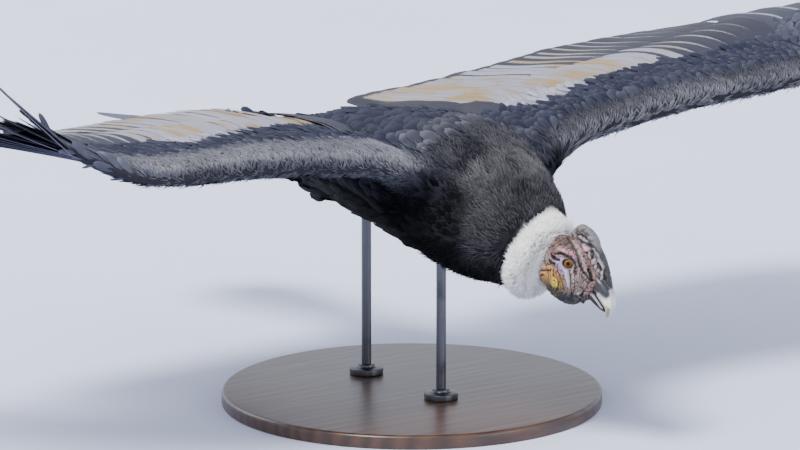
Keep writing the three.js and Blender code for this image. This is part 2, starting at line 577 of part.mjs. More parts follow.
// Legs: folded back along the belly, the closed feet under the root of the tail
for (const [sideName, side] of sides) {
  const heel = at(-206, side * 46, -47);
  const toeRoot = at(-206 - shankLength, side * 42, -60);
  const thigh = (grown = 0) =>
    throughRings(
      steps(6).map((share) => {
        const swell = Math.sqrt(Math.max(0.06, Math.sin(Math.PI * mix(0.1, 0.94, share))));
        const place = at(mix(-30, -204, share), side * mix(58, 46, share), mix(-46, -45, share));
        return ring(place, towards(0, 1, 0), towards(0.1, 0, 1), 30 * swell + grown, mix(22, 14, share) * swell + grown, 12);
      }),
    );
  addNode(`thigh_${sideName}`, thigh().subtract(torsoGrown), "feather_black");
  const shank = (grown = 0) => tube([heel, toeRoot], [9, 7.6, 9].map((r) => r + grown), { count: 8, length: 3 });
  addNode(`shank_${sideName}`, cutBy(shank(), [torsoGrown, thigh(clearance)]), "leg_skin");

  // Three toes curl back from the ball of the foot, and a short one lies in beside it.
  const ball = toeRoot.clone().add(towards(-1, 0, -0.1).multiplyScalar(5));
  const toes = toeLengths.map((length, i) => {
    const out = side * (i - 1) * 0.24;
    const toe = (share, drop) => ball.clone().add(new THREE.Vector3(out * length * share, length * share, -drop));
    return { line: [ball, toe(0.3, -3), toe(0.65, -2), toe(0.86, 5)], radii: [8.5, 7, 6.2, 4.2], claw: toe(0.99, 17) };
  });
  const inward = (x, y, z) => ball.clone().add(new THREE.Vector3(-side * x, y, z));
  toes.push({ line: [ball, inward(12, 4, 0), inward(19, 12, -4)], radii: [7, 5, 3.6], claw: inward(20, 21, -11) });
  const foot = joined(toes.map(({ line, radii }) => tube(line, radii, { count: 5, length: 3 })));
  addNode(`foot_${sideName}`, cutBy(foot, [torsoGrown, shank(clearance)]), "leg_skin");
  toes.forEach(({ line, claw }, i) => {
    const [before, end] = line.slice(-2);
    const onwards = end.clone().add(end.clone().sub(before).setLength(7));
    const start = end.clone().add(end.clone().sub(before).setLength(clearance));
    addNode(`claw_${sideName}_${i + 1}`, cutBy(tube([start, onwards, claw], [3.4, 3, 0.4], { count: 5, length: 3 }), [foot]), "claw_horn");
  });
}

// Stand
const upright = (profile, forward, height, count) =>
  fromGeometry(
    new THREE.LatheGeometry(profile.map(([r, z]) => new THREE.Vector2(r, z)), count),
    new THREE.Matrix4().makeTranslation(0, -forward, height).multiply(new THREE.Matrix4().makeRotationX(Math.PI / 2)),
  );
const plateProfile = [
  [0, 0],
  [plateRadius - 2, 0],
  [plateRadius, 2],
  [plateRadius, plateThickness - plateRounding],
  [plateRadius - plateRounding, plateThickness],
  [0, plateThickness],
];
addNode("stand_plate", upright(plateProfile, 0, 0, 40), "stand_board");
for (const [rodName, forward] of Object.entries(rodForwards)) {
  const foot = plateThickness + clearance;
  const collar = [[0, 0], [collarRadius, 0], [collarRadius, collarHeight - 5], [rodRadius + 5, collarHeight], [0, collarHeight]];
  addNode(`stand_collar_${rodName}`, upright(collar, forward, foot, 16), "stand_metal");
  const rodFoot = foot + collarHeight + clearance;
  const rodTop = shoulderHeight - rodFoot;
  const rod = upright([[0, 0], [rodRadius, 0], [rodRadius, rodTop], [0, rodTop]], forward, rodFoot, 12);
  addNode(`stand_rod_${rodName}`, rod.subtract(torsoGrown), "stand_metal");
}

export default group;
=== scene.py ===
"""A male Andean condor gliding over its display stand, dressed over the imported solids."""
import json
import math
import bpy
import numpy as np
from mathutils import Matrix, Vector

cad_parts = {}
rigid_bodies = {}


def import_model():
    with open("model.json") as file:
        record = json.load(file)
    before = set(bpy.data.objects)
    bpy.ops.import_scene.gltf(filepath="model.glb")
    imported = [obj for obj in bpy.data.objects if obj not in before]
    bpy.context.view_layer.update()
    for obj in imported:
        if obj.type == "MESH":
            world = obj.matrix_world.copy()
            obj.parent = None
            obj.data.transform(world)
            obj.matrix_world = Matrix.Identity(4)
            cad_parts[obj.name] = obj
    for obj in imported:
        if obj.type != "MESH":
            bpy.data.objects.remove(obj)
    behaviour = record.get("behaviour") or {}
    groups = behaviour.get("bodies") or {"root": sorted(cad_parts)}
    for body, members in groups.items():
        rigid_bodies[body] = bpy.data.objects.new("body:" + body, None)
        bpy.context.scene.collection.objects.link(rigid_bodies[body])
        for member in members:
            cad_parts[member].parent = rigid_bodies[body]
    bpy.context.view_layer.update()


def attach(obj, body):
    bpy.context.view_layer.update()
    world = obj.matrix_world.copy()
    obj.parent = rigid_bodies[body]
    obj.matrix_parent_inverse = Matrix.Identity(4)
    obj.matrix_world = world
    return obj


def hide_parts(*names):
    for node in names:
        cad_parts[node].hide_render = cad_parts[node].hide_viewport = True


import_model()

# Places and curves
# Places on the bird are told in millimetres as how far forward, to its left and up they lie
# from the point between the shoulders. The bird faces -Y and its left wing reaches along +X.
MM = 0.001
SHOULDER_HEIGHT = 345.0
LEFT, RIGHT = 1, -1
SIDES = (("left", LEFT), ("right", RIGHT))


def at(forward, left, up):
    """Points of the scene from places on the bird."""
    forward, left, up = np.broadcast_arrays(*(np.asarray(v, float) for v in (forward, left, up)))
    return np.stack([left, -forward, up + SHOULDER_HEIGHT], -1) * MM


def way(forward, left, up):
    """A unit direction from parts forward, left and up."""
    v = np.array([left, -forward, up], float)
    return v / np.linalg.norm(v)


def mix(a, b, share):
    return a + (b - a) * share


def unit(v):
    return v / np.maximum(np.linalg.norm(v, axis=-1, keepdims=True), 1e-12)


def smooth(value, low, high):
    """0 below low, 1 above high, eased between."""
    t = np.clip((np.asarray(value, float) - low) / (high - low), 0, 1)
    return t * t * (3 - 2 * t)


def full_turn(count):
    """Angles evenly round a full turn."""
    return np.linspace(0, 2 * math.pi, count, endpoint=False)


def through(*keys):
    """A smooth function through a few (place, value) keys."""
    keys = np.array(keys, float)
    ends = np.vstack([2 * keys[0] - keys[1], keys, 2 * keys[-1] - keys[-2]])
    t = np.linspace(0, len(keys) - 1, 24 * len(keys) + 1)
    i = np.minimum(t.astype(int), len(keys) - 2)
    w = (t - i)[:, None]
    a, b, c, d = ends[i], ends[i + 1], ends[i + 2], ends[i + 3]
    table = 0.5 * (2 * b + (c - a) * w + (2 * a - 5 * b + 4 * c - d) * w**2 + (3 * b - a - 3 * c + d) * w**3)
    return lambda place: np.interp(place, table[:, 0], table[:, 1])


def lumps(points, size, seed):
    """Smooth random values from -1 to 1 over space, in lumps of a size in millimetres."""
    table = np.random.default_rng(seed).uniform(-1, 1, 4096)
    place = np.asarray(points) / (size * MM)
    low = np.floor(place).astype(np.int64)
    t = place - low
    t = t * t * (3 - 2 * t)
    total = 0.0
    for corner in range(8):
        step = np.array([corner & 1, corner >> 1 & 1, corner >> 2 & 1])
        weight = np.prod(np.where(step, t, 1 - t), axis=-1)
        total = total + weight * table[((low + step) @ np.array([73, 1571, 3079])) % 4096]
    return total


def lump_ways(points, size, *seeds):
    """Smooth random directions over space, one part of them for each seed."""
    return np.stack([lumps(points, size, seed) for seed in seeds], -1)


# Torso: half widths and depths along the bird
TORSO_ENDS = (-392, 292)
torso_half_width = through(
    (-400, 32), (-330, 50), (-260, 66), (-170, 88), (-70, 113), (50, 132), (140, 125), (200, 104),
    (250, 84), (300, 56),
)
torso_back = through(
    (-400, 24), (-260, 46), (-190, 62), (-130, 76), (-70, 86), (50, 98), (140, 110), (200, 100), (250, 84),
    (300, 56),
)
torso_belly = through(
    (-400, 18), (-330, 28), (-260, 36), (-170, 45), (-70, 64), (0, 77), (50, 83), (140, 92), (200, 95),
    (250, 80), (300, 58),
)
torso_axis_up = through(
    (-400, -20), (-260, -18), (-130, -13), (50, -11), (140, -23), (200, -38), (250, -54), (300, -72),
)
torso_tilt = through((-400, 4), (0, 0), (140, 8), (300, 24))

# Wings, as functions of the distance from the midline
WING_ROOT, HAND_END = 60, 792
leading_forward = through(
    (40, 196), (100, 198), (137, 190), (190, 183), (250, 183), (340, 194), (430, 205), (520, 213),
    (600, 214), (660, 206), (720, 194), (800, 180),
)
leading_up = through(
    (40, 0), (100, 10), (137, 36), (190, 54), (250, 63), (340, 77), (430, 85), (520, 89), (600, 99),
    (660, 124), (720, 160), (800, 220),
)
trailing_forward = through((40, -285), (130, -300), (350, -304), (600, -290), (800, -270))
trailing_up = through((40, 20), (130, 26), (350, 34), (430, 38), (500, 43), (600, 48), (700, 48), (800, 44))
trailing_lift = through((40, 6), (200, 11), (350, 6), (450, 0))
wing_camber = through((40, 22), (450, 22), (600, 33), (800, 38))
arm_thickness = through(
    (40, 84), (100, 80), (137, 66), (190, 58), (250, 56), (430, 50), (520, 44), (600, 38), (660, 28),
    (700, 20), (800, 12),
)
flesh_share = through((40, 0.66), (300, 0.6), (600, 0.5), (700, 0.36), (800, 0.2))


def torso_place(forward, angle, grown=0.0):
    """A place on the torso at an angle round it, 0 at its left and a quarter turn at its back."""
    tilt = np.radians(torso_tilt(forward))
    c, s = np.cos(angle), np.sin(angle)
    power = 2 / 2.1
    side = np.sign(c) * np.abs(c) ** power * (torso_half_width(forward) + grown)
    depth = np.where(s > 0, torso_back(forward), torso_belly(forward)) + grown
    rise = np.sign(s) * np.abs(s) ** power * depth
    return at(forward + rise * np.sin(tilt), side, torso_axis_up(forward) + rise * np.cos(tilt))


def on_wing(side, left, share, over=0.0):
    """A place on the wing's middle surface, a share of the way from its leading to its trailing edge."""
    forward = mix(leading_forward(left), trailing_forward(left), share)
    trailing = trailing_up(left) - side * trailing_lift(left)
    up = mix(leading_up(left), trailing, share) + wing_camber(left) * 4 * share * (1 - share)
    return at(forward, side * left, up + over)


def flesh_half(left, share):
    """Half the thickness of the wing's flesh at a share of its own chord."""
    blunt = 1.15 * np.minimum(1, share / 0.16) ** 0.5 * (1 - share) ** 0.9
    return arm_thickness(left) / 2 * blunt + 2.5 * np.sqrt(share)


def wing_place(side, left, angle, grown=0.0):
    """A place on the wing's flesh, its angle running from the leading edge over the back."""
    share = (1 - np.cos(angle)) / 2
    half = np.maximum(flesh_half(left, share) + grown * np.minimum(1, share * 12), 0.4)
    over = np.where(np.sin(angle) >= 0, half * 0.8, -half) * (share > 1e-6)
    inset = -grown / 250
    return on_wing(side, left, np.clip(share * (flesh_share(left) + grown / 300) + inset, 0, 1), over)


# Meshes
def new_object(name, data):
    made = bpy.data.objects.new(name, data)
    bpy.context.collection.objects.link(made)
    return made


def mesh_of(name, points, faces, shade_smooth=True):
    mesh = bpy.data.meshes.new(name)
    mesh.from_pydata(np.asarray(points, float).tolist(), [], [list(f) for f in faces])
    mesh.polygons.foreach_set("use_smooth", [shade_smooth] * len(mesh.polygons))
    mesh.validate()
    mesh.update()
    return new_object(name, mesh)


def ring_faces(rings, count):
    """Quads between rings of points that run the same way round, and a fan over each end."""
    faces = []
    for i in range(rings - 1):
        for j in range(count):
            a, b = i * count + j, i * count + (j + 1) % count
            faces.append((a, b, b + count, a + count))
    first, last = rings * count, rings * count + 1
    for j in range(count):
        faces.append((first, (j + 1) % count, j))
        start = (rings - 1) * count
        faces.append((last, start + j, start + (j + 1) % count))
    return faces


def loft(name, rings):
    """A closed solid through rings, an array of rings by points by three."""
    rings = np.asarray(rings, float)
    points = np.vstack([rings.reshape(-1, 3), rings[0].mean(0), rings[-1].mean(0)])
    return solid(name, points, ring_faces(len(rings), rings.shape[1]))


def solid(name, points, faces):
    """A closed mesh with its faces turned outwards, told by the sign of its volume."""
    made = mesh_of(name, points, faces)
    made.data.calc_loop_triangles()
    p = points_of(made)[gathered(made.data.loop_triangles, "vertices", 3, int)]
    if np.einsum("ij,ij->i", p[:, 0], np.cross(p[:, 1], p[:, 2])).sum() < 0:
        made.data.flip_normals()
    return made


def gathered(items, kind, width, number=float):
    """One kind of value of a mesh's points, edges, faces or corners, a row for each of them."""
    values = np.empty(len(items) * width, number)
    items.foreach_get(kind, values)
    return values.reshape(-1, width)


def points_of(made):
    return gathered(made.data.vertices, "co", 3)


def surface_of(made):
    """A piece's points and their normals."""
    return points_of(made), gathered(made.data.vertices, "normal", 3)


def raise_surface(made, points, normals, relief):
    """Moves a piece's points along their normals by a relief in millimetres."""
    made.data.vertices.foreach_set("co", (points + normals * relief[:, None] * MM).ravel())
    made.data.update()


def store(mesh, name, values):
    """Stores a number, a direction or a colour for each vertex."""
    values = np.asarray(values, float)
    kind, part = {1: ("FLOAT", "value"), 3: ("FLOAT_VECTOR", "vector"), 4: ("FLOAT_COLOR", "color")}[
        1 if values.ndim == 1 else values.shape[1]
    ]
    mesh.attributes.new(name, kind, "POINT").data.foreach_set(part, values.ravel())


def smooth_line(points, count):
    """A smooth line through points, cut into even steps of its parameter."""
    points = np.asarray(points, float)
    keys = [through(*((i, v) for i, v in enumerate(points[:, axis]))) for axis in range(3)]
    places = np.linspace(0, len(points) - 1, count)
    return np.stack([key(places) for key in keys], -1)


def tube(name, line, radii, count=12, steps=20, flat_way=None, flatness=1.0):
    """A round, tapered length along a smooth line of points, its radii in millimetres."""
    path = smooth_line(line, steps)
    radius = through(*enumerate(radii))(np.linspace(0, len(radii) - 1, steps)) * MM
    along = unit(np.gradient(path, axis=0))
    rise = np.asarray(flat_way if flat_way is not None else (0.13, 0.21, 0.97), float)
    rise = unit(rise - along * (along @ rise)[:, None])
    across = np.cross(along, rise)
    angle = full_turn(count)
    c, s = np.cos(angle)[:, None], flatness * np.sin(angle)[:, None]
    rings = path[:, None] + radius[:, None, None] * (across[:, None] * c + rise[:, None] * s)
    return loft(name, rings)


def joined(name, objects):
    """Joins the meshes of several objects into one new object and drops the old ones."""
    points, faces, start = [], [], 0
    for made in objects:
        points.append(points_of(made))
        faces += [tuple(v + start for v in face.vertices) for face in made.data.polygons]
        start += len(made.data.vertices)
        drop(made)
    return mesh_of(name, np.vstack(points), faces)


def drop(made):
    mesh = made.data
    bpy.data.objects.remove(made)
    bpy.data.meshes.remove(mesh)


def applied(made):
    """Turns an object with modifiers into a plain mesh."""
    evaluated = made.evaluated_get(bpy.context.evaluated_depsgraph_get())
    mesh = bpy.data.meshes.new_from_object(evaluated)
    name, old = made.name, made.data
    made.modifiers.clear()
    made.data = mesh
    bpy.data.meshes.remove(old)
    mesh.name = name
    return made


def fused(name, objects, voxel, passes):
    """One closed skin round several closed solids, its creases softened a number of times."""
    made = joined(name, objects)
    remesh = made.modifiers.new("fuse", "REMESH")
    remesh.mode, remesh.voxel_size, remesh.use_smooth_shade = "VOXEL", voxel * MM, True
    soften = made.modifiers.new("soften", "SMOOTH")
    soften.factor, soften.iterations = 0.5, passes
    return applied(made)


# Node trees
def add(tree, kind, values=None, **settings):
    """Adds a node; values fill its inputs by name or number, from a socket or a plain value."""
    made = tree.nodes.new(kind)
    for name, value in settings.items():
        setattr(made, name, value)
    for name, value in (values or {}).items():
        socket = made.inputs[name]
        if isinstance(value, bpy.types.NodeSocket):
            tree.links.new(value, socket)
        else:
            socket.default_value = value
    return made


def reckon(tree, operation, *values):
    """A maths node's result."""
    return add(tree, "ShaderNodeMath", dict(enumerate(values)), operation=operation).outputs[0]


def product(tree, first, *others):
    """Numbers multiplied together."""
    for other in others:
        first = reckon(tree, "MULTIPLY", first, other)
    return first


def ramp(tree, value, slope, start):
    """A number times a slope, from a start."""
    return reckon(tree, "MULTIPLY_ADD", value, slope, start)


def ease(tree, value, low, high):
    """0 below low, 1 above high."""
    span = {"Value": value, "From Min": low, "From Max": high}
    return add(tree, "ShaderNodeMapRange", span, interpolation_type="SMOOTHSTEP").outputs[0]


def blend(tree, share, a, b, blend_type="MIX"):
    """Mixes two colours, each from a socket or a screen value."""
    a, b = (colour(v) if isinstance(v, str) else v for v in (a, b))
    kind = {"data_type": "RGBA", "blend_type": blend_type, "clamp_factor": True}
    return add(tree, "ShaderNodeMix", {0: share, 6: a, 7: b}, **kind).outputs[2]


def colour(hexed):
    """A linear colour from its screen value."""
    parts = [int(hexed[i : i + 2], 16) / 255 for i in (0, 2, 4)]
    return tuple(v / 12.92 if v <= 0.04045 else ((v + 0.055) / 1.055) ** 2.4 for v in parts) + (1.0,)


def read(tree, name):
    """An attribute of the mesh as a number."""
    return add(tree, "ShaderNodeAttribute", attribute_name=name).outputs["Fac"]


def map_places(tree, name="vane"):
    """A point's two places on a map: on a feather's own, how far across and along it."""
    uv = add(tree, "ShaderNodeUVMap", uv_map=name).outputs[0]
    parts = add(tree, "ShaderNodeSeparateXYZ", {0: uv})
    return parts.outputs[0], parts.outputs[1]


def object_place(tree):
    return add(tree, "ShaderNodeTexCoord").outputs["Object"]


def painted_colour(tree):
    """The colour that a piece's own paint gives."""
    return add(tree, "ShaderNodeAttribute", attribute_name="paint").outputs["Color"]


def noise(tree, scale, detail=3.0, rough=0.55, stretch=None):
    """Noise over the object, from 0 to 1."""
    place = object_place(tree)
    if stretch:
        place = add(tree, "ShaderNodeMapping", {"Vector": place, "Scale": stretch}).outputs[0]
    values = {"Vector": place, "Scale": scale, "Detail": detail, "Roughness": rough}
    return add(tree, "ShaderNodeTexNoise", values).outputs["Fac"]


def finish(name, rough=0.6, specular=0.5, **constants):
    """A new material with its surface shader, whose constants are set on the shader's own sockets."""
    made = bpy.data.materials.new(name)
    made.use_nodes = True
    shader = made.node_tree.nodes["Principled BSDF"]
    shader.inputs["Roughness"].default_value = rough
    shader.inputs["Specular IOR Level"].default_value = specular
    for socket, value in constants.items():
        shader.inputs[socket.replace("_", " ")].default_value = value
    return made, made.node_tree, shader


def feed(tree, shader, base, rough=None):
    """Leads a colour, and a roughness where it varies, into the surface shader."""
    tree.links.new(base, shader.inputs["Base Color"])
    if rough is not None:
        tree.links.new(rough, shader.inputs["Roughness"])


def bump(tree, shader, height, strength, distance):
    made = add(tree, "ShaderNodeBump", {"Height": height, "Strength": strength, "Distance": distance})
    tree.links.new(made.outputs[0], shader.inputs["Normal"])


def shader_group(name, inputs, outputs, build):
    """A node group with numbers for its inputs and outputs, built once."""
    tree = bpy.data.node_groups.new(name, "ShaderNodeTree")
    face = tree.interface.new_socket
    for label, default in inputs.items():
        face(label, in_out="INPUT", socket_type="NodeSocketFloat").default_value = default
    for label in outputs:
        face(label, in_out="OUTPUT", socket_type="NodeSocketFloat")
    source, result = tree.nodes.new("NodeGroupInput"), tree.nodes.new("NodeGroupOutput")
    for label, socket in build(tree, source.outputs).items():
        tree.links.new(socket, result.inputs[label])
    return tree


def use(tree, group, **values):
    return add(tree, "ShaderNodeGroup", values, node_tree=group).outputs


# Finishes
def barb_pattern(tree, given):
    """Fine oblique barbs on both sides of the shaft."""
    across = reckon(tree, "ABSOLUTE", reckon(tree, "SUBTRACT", given["Across"], 0.5))
    run = product(tree, given["Along"], given["Count"])
    slant = ramp(tree, across, product(tree, given["Count"], -0.35), run)
    waver = product(tree, given["Waver"], 1.5)
    wave = reckon(tree, "SINE", product(tree, reckon(tree, "ADD", slant, waver), 2 * math.pi))
    shaft = ease(tree, across, 0.035, 0.0)
    return {"Barbs": ramp(tree, wave, 0.5, 0.5), "Shaft": shaft}


def mottling(tree, given):
    """Two sizes of blotches over the object, each weighed by its own amount."""
    broad = noise(tree, 9)
    fine = noise(tree, 60, 4)
    broad = product(tree, reckon(tree, "SUBTRACT", broad, 0.5), given["Broad"])
    fine = product(tree, reckon(tree, "SUBTRACT", fine, 0.5), given["Fine"])
    return {"Shade": reckon(tree, "ADD", reckon(tree, "ADD", broad, fine), 1.0)}


BARB_INPUTS = {"Across": 0.5, "Along": 0.0, "Count": 60.0, "Waver": 0.0}
BARBS = shader_group("barbs", BARB_INPUTS, ("Barbs", "Shaft"), barb_pattern)
MOTTLE = shader_group("mottle", {"Broad": 0.5, "Fine": 0.5}, ("Shade",), mottling)


def shaded(tree, base, shade):
    """A colour made lighter or darker by a factor."""
    grey = add(tree, "ShaderNodeCombineColor", {0: shade, 1: shade, 2: shade}).outputs[0]
    return blend(tree, 1.0, base, grey, "MULTIPLY")


def make_quill_finish():
    """Slate flight feathers, whose upper outer webs are white where the feather's own white says so."""
    made, tree, shader = finish("quill_feathers", rough=0.5, specular=0.35)
    across, along = map_places(tree)
    mottled = use(tree, MOTTLE, Broad=0.5, Fine=0.5)["Shade"]
    barbs = use(tree, BARBS, Across=across, Along=along, Count=90.0, Waver=noise(tree, 30, 2))
    tint = ramp(tree, read(tree, "tint"), 0.5, 0.75)
    dark = blend(tree, ease(tree, along, 0.0, 1.0), "1e2136", "171826")
    dark = blend(tree, product(tree, noise(tree, 14), 0.5), dark, "242124")
    # Undersides paler: the grey of the quills' undersides, made paler still as painted light standing in for
    # light from below
    dark = blend(tree, reckon(tree, "SUBTRACT", 1.0, read(tree, "upper")), dark, "7c7c90")
    dark = shaded(tree, dark, product(tree, tint, mottled))
    # White on the upper face, from the feather's own start across the vane to just inside its edge
    ragged = ramp(tree, noise(tree, 220), 0.10, -0.05)
    place = reckon(tree, "ADD", across, ragged)
    start = read(tree, "white_from")
    late = product(tree, ease(tree, start, 0.55, 0.8), ease(tree, along, 0.75, 0.1))
    start = reckon(tree, "ADD", start, product(tree, late, reckon(tree, "SUBTRACT", 1.0, start)))
    inner = ease(tree, place, start, reckon(tree, "ADD", start, 0.05))
    outer = ease(tree, place, 0.985, 0.94)
    outer = reckon(tree, "MAXIMUM", outer, ease(tree, read(tree, "white_from"), 0.75, 0.45))
    tip = ease(tree, reckon(tree, "ADD", along, product(tree, ragged, 0.5)), 0.93, 0.90)
    tip = reckon(tree, "MAXIMUM", tip, reckon(tree, "SUBTRACT", 1.0, read(tree, "dark_tip")))
    white_there = product(tree, inner, outer, tip, read(tree, "white"), read(tree, "upper"))
    stain = ease(tree, noise(tree, 9, 5, 0.65, (1.9, 0.4, 1.0)), 0.46, 0.62)
    stain = product(tree, stain, read(tree, "stain"))
    white = blend(tree, stain, "8a8996", "8d764e")
    white = shaded(tree, white, ramp(tree, tint, 0.25, 0.75))
    base = blend(tree, white_there, dark, white)
    base = blend(tree, product(tree, barbs["Shaft"], 0.6), base, "2a2522")
    feed(tree, shader, base, ramp(tree, barbs["Barbs"], 0.12, 0.5))
    bump(tree, shader, barbs["Barbs"], 0.25, 0.0004)
    return made


def make_coat_finish():
    """Small body feathers: dark with a paler fringe by their shade, darkened by their depth as painted shade.
    """
    made, tree, shader = finish("body_feathers", rough=0.75, specular=0.1)
    across, along = map_places(tree)
    barbs = use(tree, BARBS, Across=across, Along=along, Count=16.0, Waver=noise(tree, 90, 2))
    tint = ramp(tree, read(tree, "tint"), 0.25, 0.87)
    mottled = use(tree, MOTTLE, Broad=0.7, Fine=0.5)["Shade"]
    away = reckon(tree, "ABSOLUTE", reckon(tree, "SUBTRACT", across, 0.5))
    beside = product(tree, ease(tree, away, 0.3, 0.5), 0.6)
    rim = reckon(tree, "MAXIMUM", ease(tree, along, 0.62, 1.0), beside)
    dark = blend(tree, read(tree, "warmth"), "15182c", "1f1d1e")
    pale = blend(tree, read(tree, "warmth"), "6c6e7b", "6b6764")
    base = blend(tree, read(tree, "shade"), dark, pale)
    base = blend(tree, product(tree, rim, read(tree, "fringe")), base, "b4b4b8")
    base = blend(tree, read(tree, "white"), base, "94929f")
    base = shaded(tree, base, product(tree, tint, mottled))
    # Painted shade, from the depth stored on each feather
    base = shaded(tree, base, read(tree, "depth"))
    feed(tree, shader, base)
    bump(tree, shader, barbs["Barbs"], 0.3, 0.0005)
    return made


def make_down_finish():
    """White down of the ruff, with painted shade grey low on the throat."""
    made, tree, shader = finish("white_down", rough=0.85, specular=0.15, Sheen_Weight=0.25)
    _, along = map_places(tree)
    base = blend(tree, along, "f1efeb", "fefdfa")
    base = shaded(tree, base, ramp(tree, read(tree, "tint"), 0.12, 0.9))
    # Painted shade on the down low on the throat
    base = blend(tree, read(tree, "grime"), base, "9c9a98")
    feed(tree, shader, base)
    return made


def make_underskin_finish():
    """The dark skin and underdown that shows between feathers, darkened by its depth as painted shade."""
    made, tree, shader = finish("under_down", rough=0.9, specular=0.05)
    dark = blend(tree, noise(tree, 160, 4), "1b1d2b", "2b2d3c")
    # Painted shade, from the depth stored on the skin
    dark = shaded(tree, dark, read(tree, "depth"))
    pale = blend(tree, noise(tree, 260, 4), "1d1d22", "353439")
    base = blend(tree, read(tree, "pale"), dark, pale)
    base = blend(tree, read(tree, "ruff"), base, "ecebe7")
    feed(tree, shader, base)
    bump(tree, shader, noise(tree, 420), 0.5, 0.001)
    return made


quill_finish = make_quill_finish()
coat_finish = make_coat_finish()
down_finish = make_down_finish()
underskin_finish = make_underskin_finish()

# Skin
COAT_DEPTH = 7.0
tail_droop, tail_roll = math.radians(9.2), math.radians(20)
tail_root = at(-368, 0, -10)
tail_back = way(-math.cos(tail_droop), 0, -math.sin(tail_droop))
tail_side = way(0, math.cos(tail_roll), -math.sin(tail_roll))
tail_rise = unit(np.cross(tail_side, tail_back))


def on_tail(back, left, up):
    """A place on the tail, in its own directions."""
    back, left, up = (np.asarray(v, float)[..., None] * MM for v in np.broadcast_arrays(back, left, up))
    return tail_root + back * tail_back + left * tail_side + up * tail_rise


NECK_ENDS = at([270, 345], [0, 14], [-66, -80])
ruff_axis = way(0.85, 0.32, -0.4)
ruff_centre = at(298, -1, -69) + 4 * MM * ruff_axis
RUFF_RADIUS, RUFF_DEPTH = 43.5, 25.0


def ruff_turn():
    """The two directions across the ruff's axis."""
    first = unit(np.cross(ruff_axis, (0.3, 0.1, 0.9)))
    return first, np.cross(ruff_axis, first)


RUFF_FIRST, RUFF_SECOND = ruff_turn()


def on_ruff(around, over, out):
    """A place round the ruff: the angle about the neck, the angle about its core, and how far out."""
    around, over, out = (np.asarray(v, float)[..., None] for v in np.broadcast_arrays(around, over, out))
    flat = RUFF_FIRST * np.cos(around) + RUFF_SECOND * np.sin(around)
    top = np.clip(flat[..., 2:] * 0.9 - flat[..., :1] * 0.25, 0, 1)
    radius = (RUFF_RADIUS - 9.0 * top + out * np.cos(over)) * MM
    return ruff_centre + flat * radius + ruff_axis * out * MM * np.sin(over)


def thigh_shape(side, angle):
    share = np.linspace(0, 1, 16)[:, None]
    swell = np.sqrt(np.maximum(0.06, np.sin(math.pi * mix(0.1, 0.94, share))))
    return loft("thigh_shape", at(
        mix(-30, -204, share) + 0 * angle,
        side * mix(58, 46, share) + 27 * swell * np.cos(angle),
        mix(-46, -45, share) + mix(19, 11, share) * swell * np.sin(angle),
    ))


def neck_shape(angle):
    run = NECK_ENDS[1] - NECK_ENDS[0]
    side_way = unit(np.cross((0, 0, 1), unit(run)))
    rise = np.cross(unit(run), side_way)
    ring = np.cos(angle)[:, None] * side_way * 33 * MM + np.sin(angle)[:, None] * rise * 36 * MM
    return loft("neck_shape", NECK_ENDS[0] + run * np.linspace(0, 0.8, 8)[:, None, None] + ring)


def tail_base(angle):
    share = np.linspace(0, 1, 10)[:, None]
    half = np.sqrt(1 - (share * 0.93) ** 2)
    left = mix(36, 40, share) * half * np.cos(angle)
    return loft("tail_shape", on_tail(mix(-24, 92, share) + 0 * angle, left, -4 + 15 * half * np.sin(angle)))


def ruff_core(around):
    """The ruff's core, a closed ring round the neck."""
    rings, count = len(around), 16
    points = on_ruff(around[:, None], full_turn(count), RUFF_DEPTH * 0.5).reshape(-1, 3)
    faces = []
    for i in range(rings):
        here, beyond = i * count, (i + 1) % rings * count
        for j in range(count):
            after = (j + 1) % count
            faces.append((here + j, here + after, beyond + after, beyond + j))
    return solid("ruff_shape", points, faces)


def body_shapes():
    """Closed solids of the torso, wings, thighs, neck, tail's base and ruff's core, inside the coat."""
    angle = full_turn(48)
    forward = np.linspace(TORSO_ENDS[0] + 4, TORSO_ENDS[1] - 4, 50)[:, None]
    left = np.linspace(WING_ROOT - 30, HAND_END - 54, 66)[:, None]
    shapes = [loft("torso_shape", torso_place(forward, angle, -COAT_DEPTH))]
    for _, side in SIDES:
        shapes += [loft("wing_shape", wing_place(side, left, angle, -3.0)), thigh_shape(side, angle)]
    return shapes + [neck_shape(angle), tail_base(angle), ruff_core(angle)]


def wing_chord(points):
    """How far across the wing a point lies, from its leading edge, and how far out from the midline."""
    out, forward = np.abs(points[:, 0]) / MM, -points[:, 1] / MM
    lead, trail = leading_forward(out), trailing_forward(out)
    return (lead - forward) / (lead - trail), out


def furred_front(points, normals):
    """How far a place is in the pale fur of the wing's front edge or the breast."""
    share, out = wing_chord(points)
    forward, up = -points[:, 1] / MM, normals[:, 2]
    edge = smooth(share, 0.15, 0.07) * smooth(out, 96, 150) * smooth(up, -1.0, -0.8)
    breast = smooth(forward, 90, 230) * smooth(out, 150, 96) * smooth(up, -0.8, -0.1)
    return np.maximum(edge, 0.6 * breast)


def open_to_light(points, normals):
    """Painted shade: 0 where the coat is painted black as if in shadow, under the wings, belly and flanks,
    and 1 where light reaches it.
    """
    share, out = wing_chord(points)
    forward, height, up = -points[:, 1] / MM, points[:, 2] / MM, normals[:, 2]
    wing = np.maximum(smooth(up, -0.45, 0.0), smooth(share, 0.2, 0.1) * smooth(up, -1.0, -0.8))
    wing = np.maximum(wing, 0.6 * smooth(out, 560, 720))
    body = np.maximum(smooth(up, 0.15, 0.6), smooth(forward, 185, 240) * smooth(up, -1.1, -0.2))
    body = np.maximum(body, smooth(forward, -110, -220) * smooth(up, -0.4, 0.15))
    body = np.maximum(body, smooth(height, 358, 384))
    # Painted shade in the pit before the wing's root
    armpit = smooth(out, 66, 92) * smooth(height, 372, 345) * smooth(forward, 262, 215)
    return mix(body * (1 - armpit), wing, smooth(out, 96, 150)) ** 2


